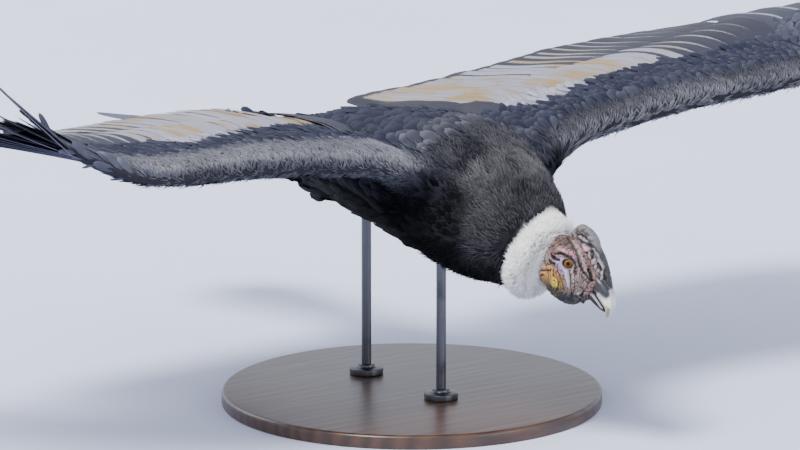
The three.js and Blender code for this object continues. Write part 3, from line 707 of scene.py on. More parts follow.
def colour_skin(points, normals):
    """Stores where the skin is white in the ruff, the painted shade on it and where it is pale."""
    from_ruff = np.linalg.norm(points - ruff_centre, axis=1) / MM
    beyond = (points - ruff_centre) @ ruff_axis / MM
    light = open_to_light(points, normals)
    # Painted shade on the skin between the ruff and the breast
    light *= mix(1, smooth(points[:, 2] / MM, 290, 370), smooth(-points[:, 1] / MM, 220, 260))
    store(body_skin.data, "ruff", smooth(from_ruff, 72, 60) * smooth(beyond, -30, -12))
    store(body_skin.data, "depth", mix(0.03, 1.0, light))
    store(body_skin.data, "pale", furred_front(points, normals))
    body_skin.data.materials.append(underskin_finish)


body_skin = fused("body_skin", body_shapes(), 5.0, passes=6)
skin_points, skin_normals = surface_of(body_skin)
colour_skin(skin_points, skin_normals)


def unwrap_skin():
    """A flattening of the body's skin, by which the coat's roots find their place in the OFBake map."""
    for made in bpy.context.view_layer.objects:
        made.select_set(made is body_skin)
    bpy.context.view_layer.objects.active = body_skin
    bpy.ops.object.mode_set(mode="EDIT")
    bpy.ops.mesh.select_all(action="SELECT")
    bpy.ops.uv.smart_project(angle_limit=math.radians(70), island_margin=0.002)
    bpy.ops.object.mode_set(mode="OBJECT")
    return gathered(body_skin.data.uv_layers.active.data, "uv", 2)


skin_uv = unwrap_skin()
face_starts = gathered(body_skin.data.polygons, "loop_start", 1, int)[:, 0]


# Small feathers
def blade_faces(rows, columns):
    """Quads of a closed sheet whose upper grid comes first and lower grid second."""
    under = rows * columns
    faces = []
    for r in range(rows - 1):
        for c in range(columns - 1):
            a = r * columns + c
            faces.append((a, a + 1, a + columns + 1, a + columns))
            faces.append((under + a, under + a + columns, under + a + columns + 1, under + a + 1))
    border = list(range(columns - 1)) + [r * columns + columns - 1 for r in range(rows - 1)]
    border += [under - columns + c for c in range(columns - 1, 0, -1)]
    border += [r * columns for r in range(rows - 1, 0, -1)]
    for a, b in zip(border, border[1:] + border[:1]):
        faces.append((a, under + a, under + b, b))
    return faces


def with_map(made, uv, name="vane"):
    """Gives a mesh a map, told for each vertex: a feather's own runs across and along it."""
    layer = made.data.uv_layers.new(name=name)
    corners = gathered(made.data.loops, "vertex_index", 1, int)[:, 0]
    layer.data.foreach_set("uv", np.asarray(uv, float)[corners].ravel())
    return made


# A small feather of length 1: half its width, its droop and how ragged its edge is
FEATHER_HALF, FEATHER_DROOP, FEATHER_RAGGED = 0.26, 0.03, 0.08


def small_feather(name, seed):
    """One body feather of length 1 along +Y, rounded, crowned and bent down at its end."""
    draw = np.random.default_rng(seed)
    along = np.array([0, 0.3, 0.6, 0.84, 0.95, 1.0])
    widths = FEATHER_HALF * np.array([0.3, 0.85, 1.0, 0.88, 0.6, 0.14])
    points, uv = [], []
    for under in (0, 1):
        for v, w in zip(along, widths):
            for u in (-1, 0, 1):
                edge = w * (1 + FEATHER_RAGGED * draw.uniform(-1, 1))
                z = 0.012 * (1 - u * u) - FEATHER_DROOP * v**2.2 - 0.022 * under * (1 - v * 0.7)
                points.append((u * edge, v - 0.05 * abs(u) * v, z))
                uv.append((0.5 + u / 2, v))
    return with_map(solid(name, points, blade_faces(6, 3)), uv)


def barb_tuft(name, seed, blades=7, spread=0.5, curl=0.2, lift=0.16, thick=0.045, droop=0.1):
    """A tuft of loose tapered barbs fanned over the skin, of length 1 along +Y."""
    draw = np.random.default_rng(seed)
    points, faces, uv = [], [], []
    for blade in range(blades):
        lean = spread * (2 * (blade + 0.5) / blades - 1) + 0.12 * draw.uniform(-1, 1)
        rise, reach, bend = lift * draw.uniform(0, 1), draw.uniform(0.7, 1.0), curl * draw.uniform(-1, 1)
        a = len(points)
        for v, w in ((0, 0.8 * thick), (0.55, thick)):
            bent = 0.1 * lean + lean * v * 0.6 + bend * v * v
            middle = np.array([bent, v * reach, rise * v - droop * v * v])
            for corner in range(3):
                angle = 2 * math.pi * corner / 3 + math.pi / 2
                points.append(middle + w * np.array([math.cos(angle), 0, 0.55 * math.sin(angle)]))
                uv.append((0.5 + 0.4 * math.cos(angle), v))
        points.append(np.array([lean * 0.7 + bend, reach, rise - droop]))
        uv.append((0.5, 1.0))
        faces += [(a, a + 2, a + 1)]
        faces += [(a + i, a + (i + 1) % 3, a + 3 + (i + 1) % 3, a + 3 + i) for i in range(3)]
        faces += [(a + 3 + i, a + 3 + (i + 1) % 3, a + 6) for i in range(3)]
    return with_map(solid(name, points, faces), uv)


def make_coat_tree():
    """Sets one of three feathers on each root, by the root's turn and size, and gives it its patch."""
    tree = bpy.data.node_groups.new("coat", "GeometryNodeTree")
    for label, kind in (
        ("Roots", "Geometry"), ("First Feather", "Object"), ("Second Feather", "Object"),
        ("Third Feather", "Object"), ("Finish", "Material"), ("Patch", "Float"), ("Seed", "Int"),
    ):
        tree.interface.new_socket(label, in_out="INPUT", socket_type=f"NodeSocket{kind}")
    tree.interface.new_socket("Coat", in_out="OUTPUT", socket_type="NodeSocketGeometry")
    given, result = tree.nodes.new("NodeGroupInput").outputs, tree.nodes.new("NodeGroupOutput")
    kinds = tree.nodes.new("GeometryNodeJoinGeometry")
    for label in ("Third Feather", "Second Feather", "First Feather"):
        info = add(tree, "GeometryNodeObjectInfo", {"Object": given[label]})
        single = add(tree, "GeometryNodeGeometryToInstance", {0: info.outputs["Geometry"]})
        tree.links.new(single.outputs[0], kinds.inputs[0])
    chosen = add(tree, "FunctionNodeRandomValue", data_type="INT")
    chosen.inputs[4].default_value, chosen.inputs[5].default_value = 0, 2
    tree.links.new(given["Seed"], chosen.inputs["Seed"])

    def named(label):
        made = add(tree, "GeometryNodeInputNamedAttribute", {"Name": label}, data_type="FLOAT_VECTOR")
        return made.outputs[0]

    placed = add(tree, "GeometryNodeInstanceOnPoints", {
        "Points": given["Roots"], "Instance": kinds.outputs[0], "Pick Instance": True,
        "Instance Index": chosen.outputs[2], "Rotation": named("turn"), "Scale": named("size"),
    })
    real = add(tree, "GeometryNodeRealizeInstances", {0: placed.outputs[0]})
    centred = add(tree, "ShaderNodeVectorMath", {0: named("vane"), 1: (0.5, 0.5, 0.0)}, operation="SUBTRACT")
    patch = {0: centred.outputs[0], "Scale": given["Patch"]}
    patch = add(tree, "ShaderNodeVectorMath", patch, operation="SCALE")
    spot = add(tree, "ShaderNodeVectorMath", {0: patch.outputs[0], 1: named("root_uv")}, operation="ADD")
    kept = add(tree, "GeometryNodeStoreNamedAttribute", {
        "Geometry": real.outputs[0], "Name": "OFBake", "Value": spot.outputs[0],
    }, data_type="FLOAT2", domain="CORNER")
    dressed = add(tree, "GeometryNodeSetMaterial", {"Geometry": kept.outputs[0], "Material": given["Finish"]})
    tree.links.new(dressed.outputs[0], result.inputs[0])
    return tree


coat_tree = make_coat_tree()
# The share of the bake map that each small feather takes
BAKE_PATCH = 0.003


def turns_of(lie, normal, pitch):
    """Turns that lay +Y along the lie, raised from the skin by a pitch, with +Z away from it."""
    lie = unit(lie - normal * np.einsum("ij,ij->i", lie, normal)[:, None])
    c, s = np.cos(pitch)[:, None], np.sin(pitch)[:, None]
    y, z = lie * c + normal * s, normal * c - lie * s
    x = np.cross(y, z)
    roll, tilt = np.arctan2(y[:, 2], z[:, 2]), -np.arcsin(np.clip(x[:, 2], -1, 1))
    return np.stack([roll, tilt, np.arctan2(x[:, 1], x[:, 0])], -1)


def coat(name, roots, normals, lie, root_uv, length, width, pitch, feathers, material, seed, **facts):
    """One piece of coat: a feather on each root, as a plain mesh."""
    mesh = bpy.data.meshes.new(name)
    mesh.vertices.add(len(roots))
    mesh.vertices.foreach_set("co", roots.ravel())
    draw = np.random.default_rng(seed)
    store(mesh, "turn", turns_of(lie, normals, pitch))
    store(mesh, "size", np.stack([width, length, (length + width) / 2], -1) * MM)
    store(mesh, "root_uv", np.column_stack([root_uv, np.zeros(len(roots))]))
    store(mesh, "tint", draw.uniform(0, 1, len(roots)))
    for label, values in facts.items():
        store(mesh, label, values)
    made = new_object(name, mesh)
    grow = made.modifiers.new("coat", "NODES")
    grow.node_group = coat_tree
    values = [*feathers, material, BAKE_PATCH, seed]
    inputs = [s for s in coat_tree.interface.items_tree if s.in_out == "INPUT"][1:]
    for socket, value in zip(inputs, values):
        grow[socket.identifier] = value
    applied(made)
    for label in ("turn", "size", "root_uv"):
        if label in made.data.attributes:
            made.data.attributes.remove(made.data.attributes[label])
    return made


def scattered(points, faces, spacing_at, tries, seed, keep):
    """Even, seeded roots on a skin: points, normals and face numbers, no two nearer than their spacing."""
    draw = np.random.default_rng(seed)
    a, b, c, d = (points[faces[:, i]] for i in range(4))
    across = np.cross(c - a, d - b)
    area = np.linalg.norm(across, axis=1)
    picked = draw.choice(len(faces), tries, p=area / area.sum())
    u, v = draw.uniform(0, 1, (2, tries, 1))
    places = mix(mix(a[picked], b[picked], u), mix(d[picked], c[picked], u), v)
    normals = unit(across[picked])
    chosen = keep(places, normals)
    places, normals, picked = places[chosen], normals[chosen], picked[chosen]
    spacing = spacing_at(places, normals) * MM
    cell = spacing.max()
    grid, taken = {}, []
    steps = [(x, y, z) for x in (-1, 0, 1) for y in (-1, 0, 1) for z in (-1, 0, 1)]
    keys = np.floor(places / cell).astype(int)
    for i, (x, y, z) in enumerate(keys.tolist()):
        near = [j for a, b, c in steps for j in grid.get((x + a, y + b, z + c), ())]
        if near and (((places[near] - places[i]) ** 2).sum(1) < spacing[i] ** 2).any():
            continue
        grid.setdefault((x, y, z), []).append(i)
        taken.append(i)
    return places[taken], normals[taken], picked[taken]


COAT_EDGE = 0.5
# Where the white of each wing begins, as a share of its chord
white_edge = {
    LEFT: through(
        (90, 0.9), (116, 0.82), (128, 0.61), (146, 0.37), (188, 0.29), (270, 0.345), (374, 0.46),
        (426, 0.46), (520, 0.41), (600, 0.5), (700, 0.7),
    ),
    RIGHT: through(
        (90, 0.7), (222, 0.465), (292, 0.395), (352, 0.33), (420, 0.29), (448, 0.41), (520, 0.5),
        (700, 0.7),
    ),
}


def grows_feathers(points, normals):
    """True where small feathers grow: not under the coverts, the ruff or the head."""
    share, out = wing_chord(points)
    covered = (out > 120) & (share > COAT_EDGE) & (normals[:, 2] > -0.5)
    covered |= (out > 82) & (out < 200) & (share > COAT_EDGE) & (points[:, 2] / MM > SHOULDER_HEIGHT + 8)
    covered |= (out < 120) & (points[:, 1] / MM > 300) & (normals[:, 1] > 0.35)
    covered |= (out > 120) & (share > 0.42) & (normals[:, 2] < 0)
    covered |= (out > 96) & (normals[:, 1] > 0.5) | (out > 690) & (np.abs(normals[:, 0]) > 0.6)
    hidden_quills = (out > 120) & (share > flesh_share(out) - 0.05)
    from_ruff = np.linalg.norm(points - ruff_centre, axis=1) / MM
    beyond = (points - ruff_centre) @ ruff_axis / MM
    return ~(covered | hidden_quills | (from_ruff < 64) & (beyond > -19))


def coat_facts(points, normals):
    """What the coat is like at each place: on the wing, its furry front edge, the breast, the upper side."""
    share, out = wing_chord(points)
    forward, height, up = -points[:, 1] / MM, points[:, 2] / MM, normals[:, 2]
    on_left = points[:, 0] > 0
    wing = smooth(out, 84, 150)
    inner = 0.08 * smooth(out, 190, 95)
    right_edge = smooth(share, 0.15 + inner, 0.07 + inner) * smooth(out, 72, 104)
    right_edge *= np.maximum(wing, smooth(height, 366, 384))
    # The left wing's front edge reaches further under the wing, to carry pale fringes painted there as light
    # from below
    under = 0.08 * smooth(up, 0.25, -0.25)
    left_edge = smooth(share, 0.10 + under, 0.045 + under) * wing
    edge = np.where(on_left, left_edge, right_edge) * smooth(out, 640, 560)
    wing = np.maximum(wing, edge)
    white_start = np.where(on_left, white_edge[LEFT](out), white_edge[RIGHT](out))
    past_start = share - white_start + 0.012 * lumps(points, 12, 45)
    return {
        "wing": wing, "edge": edge, "front": smooth(forward, 100, 235) * (1 - wing),
        "upper": smooth(up, -0.45, 0.0), "hand": smooth(out, 540, 660), "share": share, "forward": forward,
        "white": smooth(past_start, -0.075, -0.06) * (up > 0) * (out > 96),
    }


def coat_spacing(points, normals):
    here = coat_facts(points, normals)
    seen = np.maximum(here["upper"], here["edge"])
    wing_gap = mix(8.2, 5.0, here["edge"]) * mix(1, 0.92, here["hand"]) * mix(1.6, 1, seen)
    return mix(mix(10.0, 5.2, here["front"]), wing_gap, here["wing"])


def coat_lie(here, points, normals, draw):
    """The way the coat lies: back, up over the wing's front edge, outwards on the wings."""
    rise = np.where(normals[:, 2] > mix(-0.2, -0.8, here["edge"]), 1.0, -0.5)
    lie = np.array([0.0, 1.0, 0.0]) + np.outer(rise * mix(0.35, 0.9, here["edge"]), (0, 0, 1))
    lie[:, 0] += np.sign(points[:, 0]) * here["wing"] * (mix(0.12, 0.34, here["edge"]) + 0.7 * here["hand"])
    swirl = lump_ways(points, 26, 31, 32, 33) * mix(0.15, 0.4, here["front"])[:, None]
    return lie + swirl + draw.normal(0, 1, lie.shape) * mix(0.1, 0.17, here["edge"])[:, None]


def coat_sizes(here, roots, normals, draw):
    """Each feather's length and width, shorter under the hand, before the wing's root and at the rear."""
    out, forward = np.abs(roots[:, 0]) / MM, here["forward"]
    wing, edge, front, hand = (here[k] for k in ("wing", "edge", "front", "hand"))
    covert = smooth(here["share"], 0.14, 0.3)
    wing_length = mix(mix(mix(30, 42, covert), 44, hand), 19, edge)
    length = mix(mix(54, 22, front), wing_length, wing) * draw.uniform(0.85, 1.15, len(roots))
    length = length * mix(1, 0.5, hand * wing * smooth(normals[:, 2], 0.2, -0.3))
    pit = smooth(out, 70, 88) * smooth(out, 130, 108) * smooth(forward, 110, 150)
    length = length * mix(1, 0.75, np.maximum(pit, smooth(forward, -240, -330)))
    wing_breadth = mix(mix(mix(0.66, 0.5, covert), 0.5, hand), 1.0, edge)
    return length, mix(mix(0.7, 0.9, front), wing_breadth, wing) * length


def coat_shades(here, roots, normals, draw):
    """Each feather's shade, pale fringe, warmth, depth and white, with painted shade where light does not
    reach.
    """
    up, height = normals[:, 2], roots[:, 2] / MM
    wing, edge, front, hand = (here[k] for k in ("wing", "edge", "front", "hand"))
    lane = np.clip(0.5 + 0.7 * lumps(roots, 34, 41) + 0.6 * lumps(roots, 11, 42), 0, 1)
    # The pale fringes sit high on the right wing's front edge and reach down under the left wing's: painted
    # light and shade, as the two wings differ only in how light falls on them
    left_fringe, right_fringe = smooth(up, 0.75, 0.2) * smooth(up, -1.0, -0.6), smooth(up, -0.25, 0.2)
    fringed = edge * np.where(roots[:, 0] > 0, left_fringe, right_fringe)
    lit = open_to_light(roots, normals)
    high = smooth(height, 280, 370) * smooth(here["forward"], 300, 240)
    body_shade = 0.04 + 0.7 * front * lane * mix(0.25, 1, high)
    wing_shade = 0.04 + 0.7 * edge * mix(0.55, 1, lane)
    # Painted shade: the shade darkens where light does not reach, and the flecks show only where it does
    shade = mix(body_shade, wing_shade, wing) * mix(0.25, 1, lit)
    flecks = np.clip(lumps(roots, 9, 46) + 0.3 * draw.normal(0, 1, len(roots)), 0, 1)
    shade += 0.3 * fringed + 0.1 * wing * (1 - edge) * lit * flecks
    shade += 0.4 * hand * wing * mix(0.4, 1, lane)
    fringe = 0.04 + 0.17 * front + 0.5 * fringed + 0.06 * wing * draw.uniform(0, 1, len(roots)) ** 3
    # Painted shade: fringes fade and the depth falls to near black where light does not reach
    return {
        "shade": shade, "fringe": fringe * lit, "warmth": mix(0.1 + 0.6 * front, 0.3 * edge, wing),
        "depth": mix(0.03, 1.0, lit), "white": here["white"],
    }


ROOT_TRIES = 220000
# How far from the midline the breast's fur and the back's and belly's feathers end
BREAST_HALF, TRUNK_HALF = 110, 120


def make_coat():
    """The body's and wings' small feathers, in pieces by region."""
    broad = [small_feather(f"body_feather_{i}", i) for i in range(3)]
    fine = [barb_tuft(f"edge_tuft_{i}", 10 + i) for i in range(3)]
    faces = np.array([f.vertices for f in body_skin.data.polygons if len(f.vertices) == 4])
    roots, normals, face = scattered(skin_points, faces, coat_spacing, ROOT_TRIES, 11, grows_feathers)
    root_uv = skin_uv[face_starts[face]]
    draw = np.random.default_rng(23)
    here = coat_facts(roots, normals)
    wing, edge, front, hand = (here[k] for k in ("wing", "edge", "front", "hand"))
    lie = coat_lie(here, roots, normals, draw)
    length, width = coat_sizes(here, roots, normals, draw)
    shades = coat_shades(here, roots, normals, draw)
    close = np.maximum(hand * wing, smooth(here["forward"], -240, -330))
    pitch = mix(mix(4, 10, front), mix(3.6, 6, edge), wing) * mix(1, 0.4, close)
    pitch = np.radians(pitch + draw.normal(0, 2.0, len(roots)) * mix(1, 0.3, hand))
    furry = (edge > 0.35) | (front > draw.uniform(0.15, 0.6, len(roots)))
    left = roots[:, 0] / MM
    breast, trunk = np.abs(left) <= BREAST_HALF, np.abs(left) <= TRUNK_HALF
    regions = {
        "edge_left": furry & ~breast & (left > 0), "edge_right": furry & ~breast & (left <= 0),
        "breast_left": furry & breast & (left > 0), "breast_right": furry & breast & (left <= 0),
        "coat_wing_left": ~furry & ~trunk & (left > 0), "coat_wing_right": ~furry & ~trunk & (left <= 0),
        "coat_back": ~furry & trunk & (normals[:, 2] > 0),
        "coat_belly": ~furry & trunk & (normals[:, 2] <= 0),
    }
    pieces = []
    for seed, (name, chosen) in enumerate(regions.items()):
        kinds, sunk = (fine, 1.2) if furry[chosen].any() else (broad, 0.6)
        pieces.append(coat(
            name, roots[chosen] - normals[chosen] * sunk * MM, normals[chosen], lie[chosen], root_uv[chosen],
            length[chosen], width[chosen], pitch[chosen], kinds, coat_finish, seed + 1,
            **{label: values[chosen] for label, values in shades.items()},
        ))
    for kind in broad + fine:
        drop(kind)
    return pieces


# Each finished piece with its slot, and the solids that it takes the place of
dressed = []


def dress(pieces, slot, *nodes):
    """Notes pieces and their slot, the first of them in place of the solids named."""
    dressed.append((pieces[0], slot, *nodes))
    dressed.extend((piece, slot) for piece in pieces[1:])


dress([body_skin], "feather_black", "torso", "thigh_left", "thigh_right", "ruff", "neck")
dress(make_coat(), "feather_black")


# Flight feathers and coverts
def round_tip(along, start):
    """A vane's width near its end, as a share: full up to the start, then rounded to nothing."""
    t = np.clip((along - start) / (1 - start), 0, 1)
    return np.sqrt(np.maximum(1 - t * t, 0.0))


def vane_rows(count):
    """Places of a vane's rows along it, closer together at its tip."""
    v = np.linspace(0, 1, count)
    return 1 - (1 - v) ** 1.5


NARROWEST, CROWN = 0.6, 0.05


def vanes(name, path, across, width, side, outer=0.42, slope=0.07, thickness=1.1, seed=0, **facts):
    """Flight feathers as closed sheets with a raised shaft; the facts give a number for each."""
    count, rows = path.shape[:2]
    draw = np.random.default_rng(seed)
    along = unit(np.gradient(path, axis=1))
    across = unit(across - along * np.einsum("ijk,ijk->ij", across, along)[..., None])
    width = np.maximum(width, NARROWEST)
    rise = np.cross(across, along) * side
    v = vane_rows(rows)
    u = np.array([-1, -0.72, -0.4, -0.1, 0, 0.14, 0.5, 0.8, 1.0])
    columns = len(u)
    half = np.where(u < 0, 1 - outer, outer) * u
    grid, rim = (count, rows, columns), np.abs(u) == 1
    frayed = 1 - 0.035 * draw.uniform(0, 1, grid) * rim
    notch = (draw.uniform(0, 1, grid) < 0.035) & rim & (v[:, None] > 0.3)
    frayed = frayed - notch * draw.uniform(0.05, 0.16, grid)
    offset = half * frayed * width[..., None]
    shaft = (0.9 - 0.7 * v)[:, None] * np.array([0, 0, 0, 0.25, 1.0, 0.25, 0, 0, 0])
    over = offset * slope + CROWN * width[..., None] * (0.25 - half**2) * 2 + shaft
    sheet = thickness / 2 * np.array([0.35, 0.8, 1, 1, 1, 1, 1, 0.8, 0.35]) * (1 - 0.6 * v)[:, None]
    swept = 0.16 * np.abs(offset) * smooth(v, 1.0, 0.85)[:, None]
    aside, behind = across[:, :, None] * offset[..., None], along[:, :, None] * swept[..., None]
    middle = path[:, :, None] + aside * MM + behind * MM
    layers = [middle + rise[:, :, None] * (over + sign * sheet)[..., None] * MM for sign in (1, -1)]
    points = np.stack(layers, 1).reshape(-1, 3)
    one = np.array(blade_faces(rows, columns))
    faces = (one[None] + (np.arange(count) * 2 * rows * columns)[:, None, None]).reshape(-1, 4)
    made = solid(name, points, faces)
    sheets = (count, 2, rows, columns)
    uv_across = np.broadcast_to(half + 1 - outer, sheets)
    uv_along = np.broadcast_to(v[:, None], sheets)
    with_map(made, np.stack([uv_across, uv_along], -1).reshape(-1, 2))
    # Its own sheet of the bake map: a strip for each face of each feather
    wide = math.ceil(math.sqrt(count * 2 * 3))
    cell = np.arange(count)[:, None] * 2 + np.arange(2)
    tall = math.ceil(count * 2 / wide)
    strip_u = (cell % wide)[:, :, None, None] + 0.08 + 0.84 * uv_across
    strip_v = (cell // wide)[:, :, None, None] + 0.03 + 0.94 * uv_along
    with_map(made, np.stack([strip_u / wide, strip_v / tall], -1).reshape(-1, 2), "OFBake")
    store(made.data, "upper", np.broadcast_to([[[1.0]], [[0.0]]], sheets).reshape(-1))
    plain = {"tint": draw.uniform(0, 1, count), "white": 0, "white_from": 0.5, "stain": 0, "dark_tip": 1}
    for label, values in (plain | facts).items():
        values = np.broadcast_to(np.asarray(values, float), (count,))
        store(made.data, label, np.repeat(values, 2 * rows * columns))
    made.data.materials.append(quill_finish)
    return made


ARM_JITTER = 0.02
arm_lean = through((84, -0.02), (150, -0.12), (250, -0.16), (400, -0.08), (500, 0), (600, 0.16))


def arm_tier(name, side, roots, shares, heights, widths, rows, tip_start, seed, **options):
    """A tier of the arm's feathers over the wing's middle surface, by shares of its chord."""
    draw = np.random.default_rng(seed)
    roots = np.asarray(roots, float)[:, None]
    v = vane_rows(rows)[None]
    share = mix(shares[0], shares[-1] * (1 + ARM_JITTER * draw.uniform(-0.7, 0.7, roots.shape)), v)
    height = through(*zip(shares, heights))(share) + draw.uniform(-0.5, 0.5, roots.shape)
    twist = draw.normal(0, 1.0, roots.shape) * 22 * ARM_JITTER

    def placed(root):
        back = (share - shares[0]) * (leading_forward(root) - trailing_forward(root))
        return on_wing(side, root + arm_lean(root) * back + twist * v * v * 8, share, height)

    path = placed(roots)
    across = placed(roots + 3) - placed(roots - 3)
    width = through(*zip(shares, widths))(share) * round_tip(v, tip_start)
    width = width * draw.uniform(0.95, 1.05, roots.shape)
    return vanes(name, path, across, width, side, seed=seed, **options)


primary_length = through(
    (1, 425), (2, 455), (3, 500), (4, 550), (5, 592), (6, 620), (7, 632), (8, 628), (9, 612), (10, 572),
)
first_lift = through(
    (1, 14), (2, 14), (3, 12), (4, 10), (5, 11), (6, 12), (7, 13.5), (8, 15), (9, 23), (10, 43),
)
last_lift = through(
    (1, -28), (2, -28), (3, -26), (4, -7), (5, 8), (6, 19), (7, 27), (8, 35), (9, 43), (10, 51),
)
primary_pitch = through((1, 0.06), (7, 0.08), (8, 0.04), (9, -0.05), (10, -0.23))
primary_width = through((0, 18), (0.2, 60), (0.4, 76), (0.55, 54), (0.8, 44), (0.92, 38), (1, 30))
ROOT_SUNK = 18.0


def primary_paths(side, numbers, rows, reach=1.0, height=0.0):
    """Shafts of the primaries, or of coverts on them, and the way across each."""
    numbers = np.asarray(numbers, float)
    share = (numbers - 1) / 9
    length = primary_length(numbers) * reach
    fine = 96

    def heading(along):
        sweep = np.radians(mix(mix(14, 83, share**0.86), mix(9, 70, share**0.86), along * reach))
        lift = np.radians(mix(first_lift(numbers), last_lift(numbers), along * reach))
        return np.stack([side * np.sin(sweep) * np.cos(lift), np.cos(sweep) * np.cos(lift), np.sin(lift)], -1)

    lift = mix(108, 152, share**1.3) + 7 * smooth(numbers, 9, 10)
    place = at(mix(120, 184, share), side * mix(618, 722, share), lift + height)
    place = place - heading(0) * ROOT_SUNK * MM
    steps = [place]
    for i in range(fine):
        steps.append(steps[-1] + heading((i + 0.5) / fine) * ((length + ROOT_SUNK) / fine)[:, None] * MM)
    steps = np.stack(steps, 1)
    at_rows = vane_rows(rows) * fine
    low = np.minimum(at_rows.astype(int), fine - 1)
    path = mix(steps[:, low], steps[:, low + 1], (at_rows - low)[None, :, None])
    along = unit(np.gradient(path, axis=1))
    rise = np.broadcast_to(primary_pitch(numbers)[:, None], along.shape[:2])
    return path, np.stack([side * along[..., 1], -side * along[..., 0], rise], -1)


def tail_paths(side, pairs, length, height, rows):
    """Shafts of one side of the tail, from the middle out, and the way across each."""
    out = np.linspace(0, 1, pairs)[:, None]
    spread = np.radians(mix(1.4, 16, out))
    reach = length * (1 - 0.13 * out**1.6)
    v = vane_rows(rows)[None]
    up = height - 2.4 * (np.arange(pairs)[:, None] + (0.5 if side > 0 else 0))
    left = side * (mix(5, 24, out) + np.sin(spread) * reach * v)
    path = on_tail(np.cos(spread) * reach * v - 18, left, up + 0 * v)
    across = tail_side * side - tail_back * np.sin(spread)[..., None]
    return path, np.broadcast_to(across[:, :1], path.shape)


def wing_vanes(label, side):
    """All the vanes of one wing: the arm's quills and coverts, and the hand's quills, coverts and alula."""
    roots = np.linspace(150, 596, 21)
    farness = smooth(roots, 380, 560)
    white_from = through((150, 0.45), (330, 0.56), (420, 0.74), (520, 0.86), (600, 0.92))(roots)
    tip_height = 14 if side > 0 else 7
    secondaries = arm_tier(
        f"secondaries_{label}", side, roots, (0.46, 0.72, 0.88, 1.02), (0, 3, 5, tip_height),
        (44, 58, 58, 52), 18, 0.93, 3, white=1.0, white_from=white_from, stain=mix(1.0, 0.2, farness),
    )
    roots = np.linspace(134, 592, 21)
    farness = smooth(roots, 380, 560)
    white_from = through((134, 0.2), (400, 0.35), (480, 0.74), (590, 0.93))(roots)
    greater = arm_tier(
        f"greater_coverts_{label}", side, roots, (0.24, 0.44, 0.62), (-5, 10, 9), (40, 54, 50), 12, 0.72, 4,
        slope=0.06, white=mix(1, 0.85, farness), white_from=white_from, stain=mix(1.0, 0.15, farness),
        dark_tip=0.0,
    )
    scapulars = arm_tier(
        f"scapulars_{label}", side, np.linspace(74, 124, 6), (0.28, 0.55, 0.88), (6, 14, 6), (34, 44, 34),
        14, 0.7, 6, slope=0.05,
    )
    shoulder = arm_tier(
        f"shoulder_coverts_{label}", side, np.linspace(122, 146, 4), (0.2, 0.38, 0.56), (6, 15, 12),
        (30, 40, 34), 12, 0.66, 12, slope=0.05,
    )
    numbers = np.arange(1, 11)
    path, across = primary_paths(side, numbers, 30)
    v = vane_rows(30)[None]
    width = primary_width(v) * round_tip(v, 0.9) * np.linspace(0.96, 0.9, 10)[:, None]
    primaries = vanes(
        f"primaries_{label}", path, across, width, side, outer=0.36, thickness=1.4, seed=7,
        tint=np.linspace(1.5, 1.2, 10), white=smooth(numbers, 8, 3) * 0.8, white_from=0.72,
    )
    numbers = np.linspace(2.4, 9.9, 12)
    path, across = primary_paths(side, numbers, 12, reach=0.34, height=7)
    v = vane_rows(12)[None]
    width = through((0, 26), (0.5, 50), (1, 44))(v) * round_tip(v, 0.75)
    width = width * mix(1, 0.5, smooth(numbers, 5, 9))[:, None]
    hand_coverts = vanes(
        f"hand_coverts_{label}", path, across, width, side, slope=0.06, seed=8,
        white=smooth(numbers, 6, 2) * 0.6, white_from=0.72, tint=np.linspace(1.3, 0.9, 12),
    )
    share = vane_rows(12)
    start = np.array([0.0, 0.16, 0.3])[:, None]
    a = mix(start, 0.75 + start, share[None])
    path = on_wing(side, mix(622, 756, a), mix(0.1, 0.05, a) + start * 0.12, mix(9, 15, a) + 3 * start)
    across = np.broadcast_to(at(1, 0, 0) - at(0, 0, 0), path.shape)
    width = through((0, 18), (0.4, 34), (1, 22))(share)[None] * round_tip(share, 0.8)[None] * np.ones((3, 1))
    alula = vanes(f"alula_{label}", path, across, width, side, slope=0.0, seed=9)
    return [secondaries, greater, scapulars, shoulder], [primaries, hand_coverts, alula]


for label, side in SIDES:
    arm_pieces, hand_pieces = wing_vanes(label, side)
    dress(arm_pieces, "feather_black", f"wing_{label}_arm")
    dress(hand_pieces, "feather_black", f"wing_{label}_hand")


def make_tail():
    """The tail's twelve feathers, and shorter coverts over their roots."""
    tail = []
    for label, side in SIDES:
        for name, pairs, length, height, rows, widths, tip in (
            ("tail_quills", 6, 341, 0.0, 20, ((0, 18), (0.14, 30), (0.5, 52), (0.92, 52), (1, 46)), 0.9),
            ("tail_coverts", 4, 150, 5.0, 12, ((0, 24), (0.3, 44), (0.75, 54), (1, 44)), 0.7),
        ):
            path, across = tail_paths(side, pairs, length, height, rows)
            v = vane_rows(rows)[None]
            width = through(*widths)(v) * round_tip(v, tip) * np.ones((pairs, 1))
            tail.append(vanes(
                f"{name}_{label}", path, across, width, side, outer=0.48, slope=0.0,
                thickness=0.9, seed=10, tint=np.linspace(-0.8, -0.5, pairs),
            ))
    return tail


dress(make_tail(), "feather_black", "tail")


